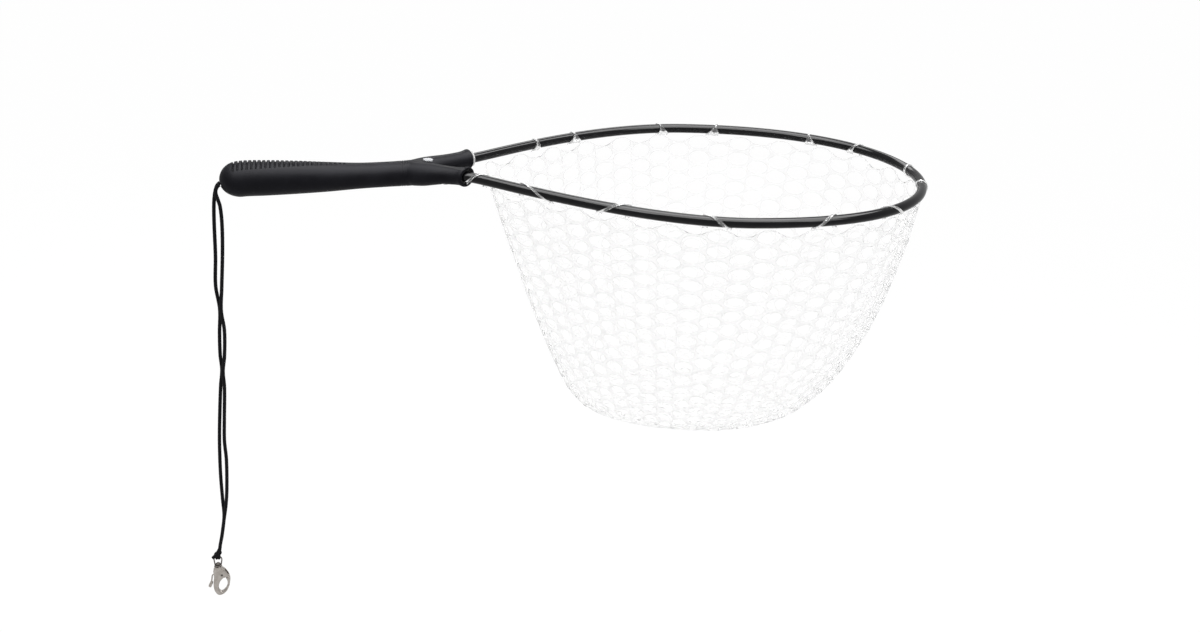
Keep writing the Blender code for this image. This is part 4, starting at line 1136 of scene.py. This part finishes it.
def mouthLoop():  # one strand looped round the tube at the far socket
    way = legWay(1)
    side = Vector((-way.y, way.x, 0.0))
    line = []
    for turn in range(hem["loopSteps"]):
        angle = 2 * math.pi * turn / hem["loopSteps"]
        spot = legMouth(1) + way * (hem["loopOut"] + hem["loopLean"] * math.cos(angle))
        line.append(spot + (side * math.cos(angle) + upright * math.sin(angle)) * hem["loopReach"])
    return sweep("mouthLoop", line, hem["loopRadius"], hem["loopSides"], milkyRubber, True)


def makeHem():
    pieces = [hemBand(index, *row) for index, row in enumerate(hem["bands"])] + [mouthLoop()]
    made = joinPieces("netHem", pieces)
    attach(made, "net")


makeHem()
print("hem threaded")

# clasp pieces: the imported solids, softened as cast metal

cast = {  # node: piece, body, voxel, rounds of smoothing, finish
    "swivel_bail": ("swivelBail", "bail", 0.14 * mm, 6, wornNickel),
    "swivel_rivet": ("swivelRivet", "clasp", 0.14 * mm, 4, wornNickel),
    "clasp_body": ("claspBody", "clasp", 0.2 * mm, 5, satinNickel),
    "clasp_trigger": ("claspTrigger", "trigger", 0.16 * mm, 4, satinNickel),
}
for node, (name, body, voxel, rounds, finish) in cast.items():
    piece = addMesh(name, nodes[node].data.copy(), finish)
    piece.matrix_world = nodes[node].matrix_world
    remesh(piece, voxel)
    relax(piece, rounds)
    piece.data.materials.clear()
    piece.data.materials.append(finish)
    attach(piece, body)
    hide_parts(node)
print("clasp cast")

# carried-over nodes

carried = {
    "fork_badge": silverFilm,
    "socket_bush_far": blackPlastic,
    "tube_plug_near": blackPlastic,
    "tube_plug_far": blackPlastic,
    "rim_screw_near": bareSteel,
    "rim_screw_far": bareSteel,
    "lanyard_pin": bareSteel,
    "clasp_pin": wornNickel,
    "clasp_spring": bareSteel,
}
for node, finish in carried.items():
    made = nodes[node]
    made.data.materials.clear()
    made.data.materials.append(finish)

# floor, lamps and world

studio = {
    "floorZ": -0.95,
    "floorHalf": 9.0,
    "worldFill": 0.42,
    "paperGrey": (0.87, 0.88, 0.89),
    "paperWhite": 1.06,
    "paperShare": 0.9,  # the rest of the paper is lit, and holds the shadow
    "mirroredShare": 0.3,  # what gloss sees of the white
    "lamps": [  # name, place, aim, width along x, depth, watts, lights matt surfaces too
        ("topLamp", (0.2, -0.05, 1.5), (0.2, 0.0, 0.0), 1.5, 0.5, 15.0, True),
        ("keyLamp", (-1.1, -1.4, 1.3), (0.1, 0.0, -0.05), 0.6, 0.6, 8.0, True),
        ("fillLamp", (1.5, -1.2, 0.9), (0.15, 0.0, -0.1), 0.6, 0.6, 6.0, True),
        ("backLamp", (0.3, 1.7, 1.1), (0.15, 0.0, -0.1), 1.2, 0.5, 8.0, True),
        ("glossCard", (0.2, -0.37, 1.2), (0.2, -0.36, 0.0), 2.6, 2.0, 150.0, False),
    ],
}


def rayShare(tree, seen, mirrored):  # one number from the kind of ray that looks
    path = tree.nodes.new("ShaderNodeLightPath")
    parts = []
    kinds = (("Is Camera Ray", seen), ("Is Transmission Ray", seen), ("Is Glossy Ray", mirrored))
    for socket, amount in kinds:
        part = tree.nodes.new("ShaderNodeMath")
        part.operation = "MULTIPLY"
        part.inputs[1].default_value = amount
        tree.links.new(path.outputs[socket], part.inputs[0])
        parts.append(part.outputs[0])
    total = parts[0]
    for part in parts[1:]:
        most = tree.nodes.new("ShaderNodeMath")
        most.operation = "MAXIMUM"
        tree.links.new(total, most.inputs[0])
        tree.links.new(part, most.inputs[1])
        total = most.outputs[0]
    return total


def makeFloor():
    half, z = studio["floorHalf"], studio["floorZ"]
    spots = [(-half, -half, z), (half, -half, z), (half, half, z), (-half, half, z)]
    floor = meshFrom("floor", spots, [(0, 1, 2, 3)], smooth=False)
    deep, plain, pale = studio["paperGrey"]
    finish, tree, shader, place = startFinish("floorPaper", (plain, plain, plain), 0.9)
    shader.inputs["Specular IOR Level"].default_value = 0.0
    cloud = grainNode(tree, place, 3.0)
    tintBetween(tree, cloud, (deep, deep, deep), (pale, pale, pale), shader.inputs["Base Color"])
    glow = tree.nodes.new("ShaderNodeEmission")
    glow.inputs["Strength"].default_value = studio["paperWhite"]
    both = tree.nodes.new("ShaderNodeMixShader")
    tree.links.new(rayShare(tree, studio["paperShare"], studio["mirroredShare"]), both.inputs["Fac"])
    tree.links.new(shader.outputs[0], both.inputs[1])
    tree.links.new(glow.outputs[0], both.inputs[2])
    tree.links.new(both.outputs[0], tree.nodes["Material Output"].inputs["Surface"])
    floor.data.materials.append(finish)


def makeLamps():
    glossy = bpy.data.collections.new("glossyPieces")  # what the gloss card lights
    glossy.objects.link(rim)
    glossy.objects.link(handle)
    for name, spot, aim, width, depth, power, matt in studio["lamps"]:
        data = bpy.data.lights.new(name, "AREA")
        data.shape = "RECTANGLE"
        data.size = width
        data.size_y = depth
        data.energy = power
        lamp = bpy.data.objects.new(name, data)
        bpy.context.scene.collection.objects.link(lamp)
        lamp.location = spot
        lamp.rotation_euler = (Vector(aim) - Vector(spot)).to_track_quat("-Z", "Y").to_euler()
        lamp.visible_camera = False
        lamp.visible_diffuse = matt
        lamp.visible_transmission = matt
        if not matt:
            lamp.light_linking.receiver_collection = glossy


def makeWorld():
    world = bpy.data.worlds.new("studioWorld")
    bpy.context.scene.world = world
    world.use_nodes = True
    tree = world.node_tree
    tree.nodes.clear()
    out = tree.nodes.new("ShaderNodeOutputWorld")
    fill = tree.nodes.new("ShaderNodeBackground")
    fill.inputs["Strength"].default_value = studio["worldFill"]
    white = tree.nodes.new("ShaderNodeBackground")
    for paper in (fill, white):
        paper.inputs["Color"].default_value = (1.0, 1.0, 1.0, 1.0)
    mix = tree.nodes.new("ShaderNodeMixShader")
    tree.links.new(rayShare(tree, 1.0, studio["mirroredShare"]), mix.inputs["Fac"])
    tree.links.new(fill.outputs[0], mix.inputs[1])
    tree.links.new(white.outputs[0], mix.inputs[2])
    tree.links.new(mix.outputs[0], out.inputs["Surface"])


makeFloor()
makeLamps()
makeWorld()
print("studio lit")

# end

print("finished")
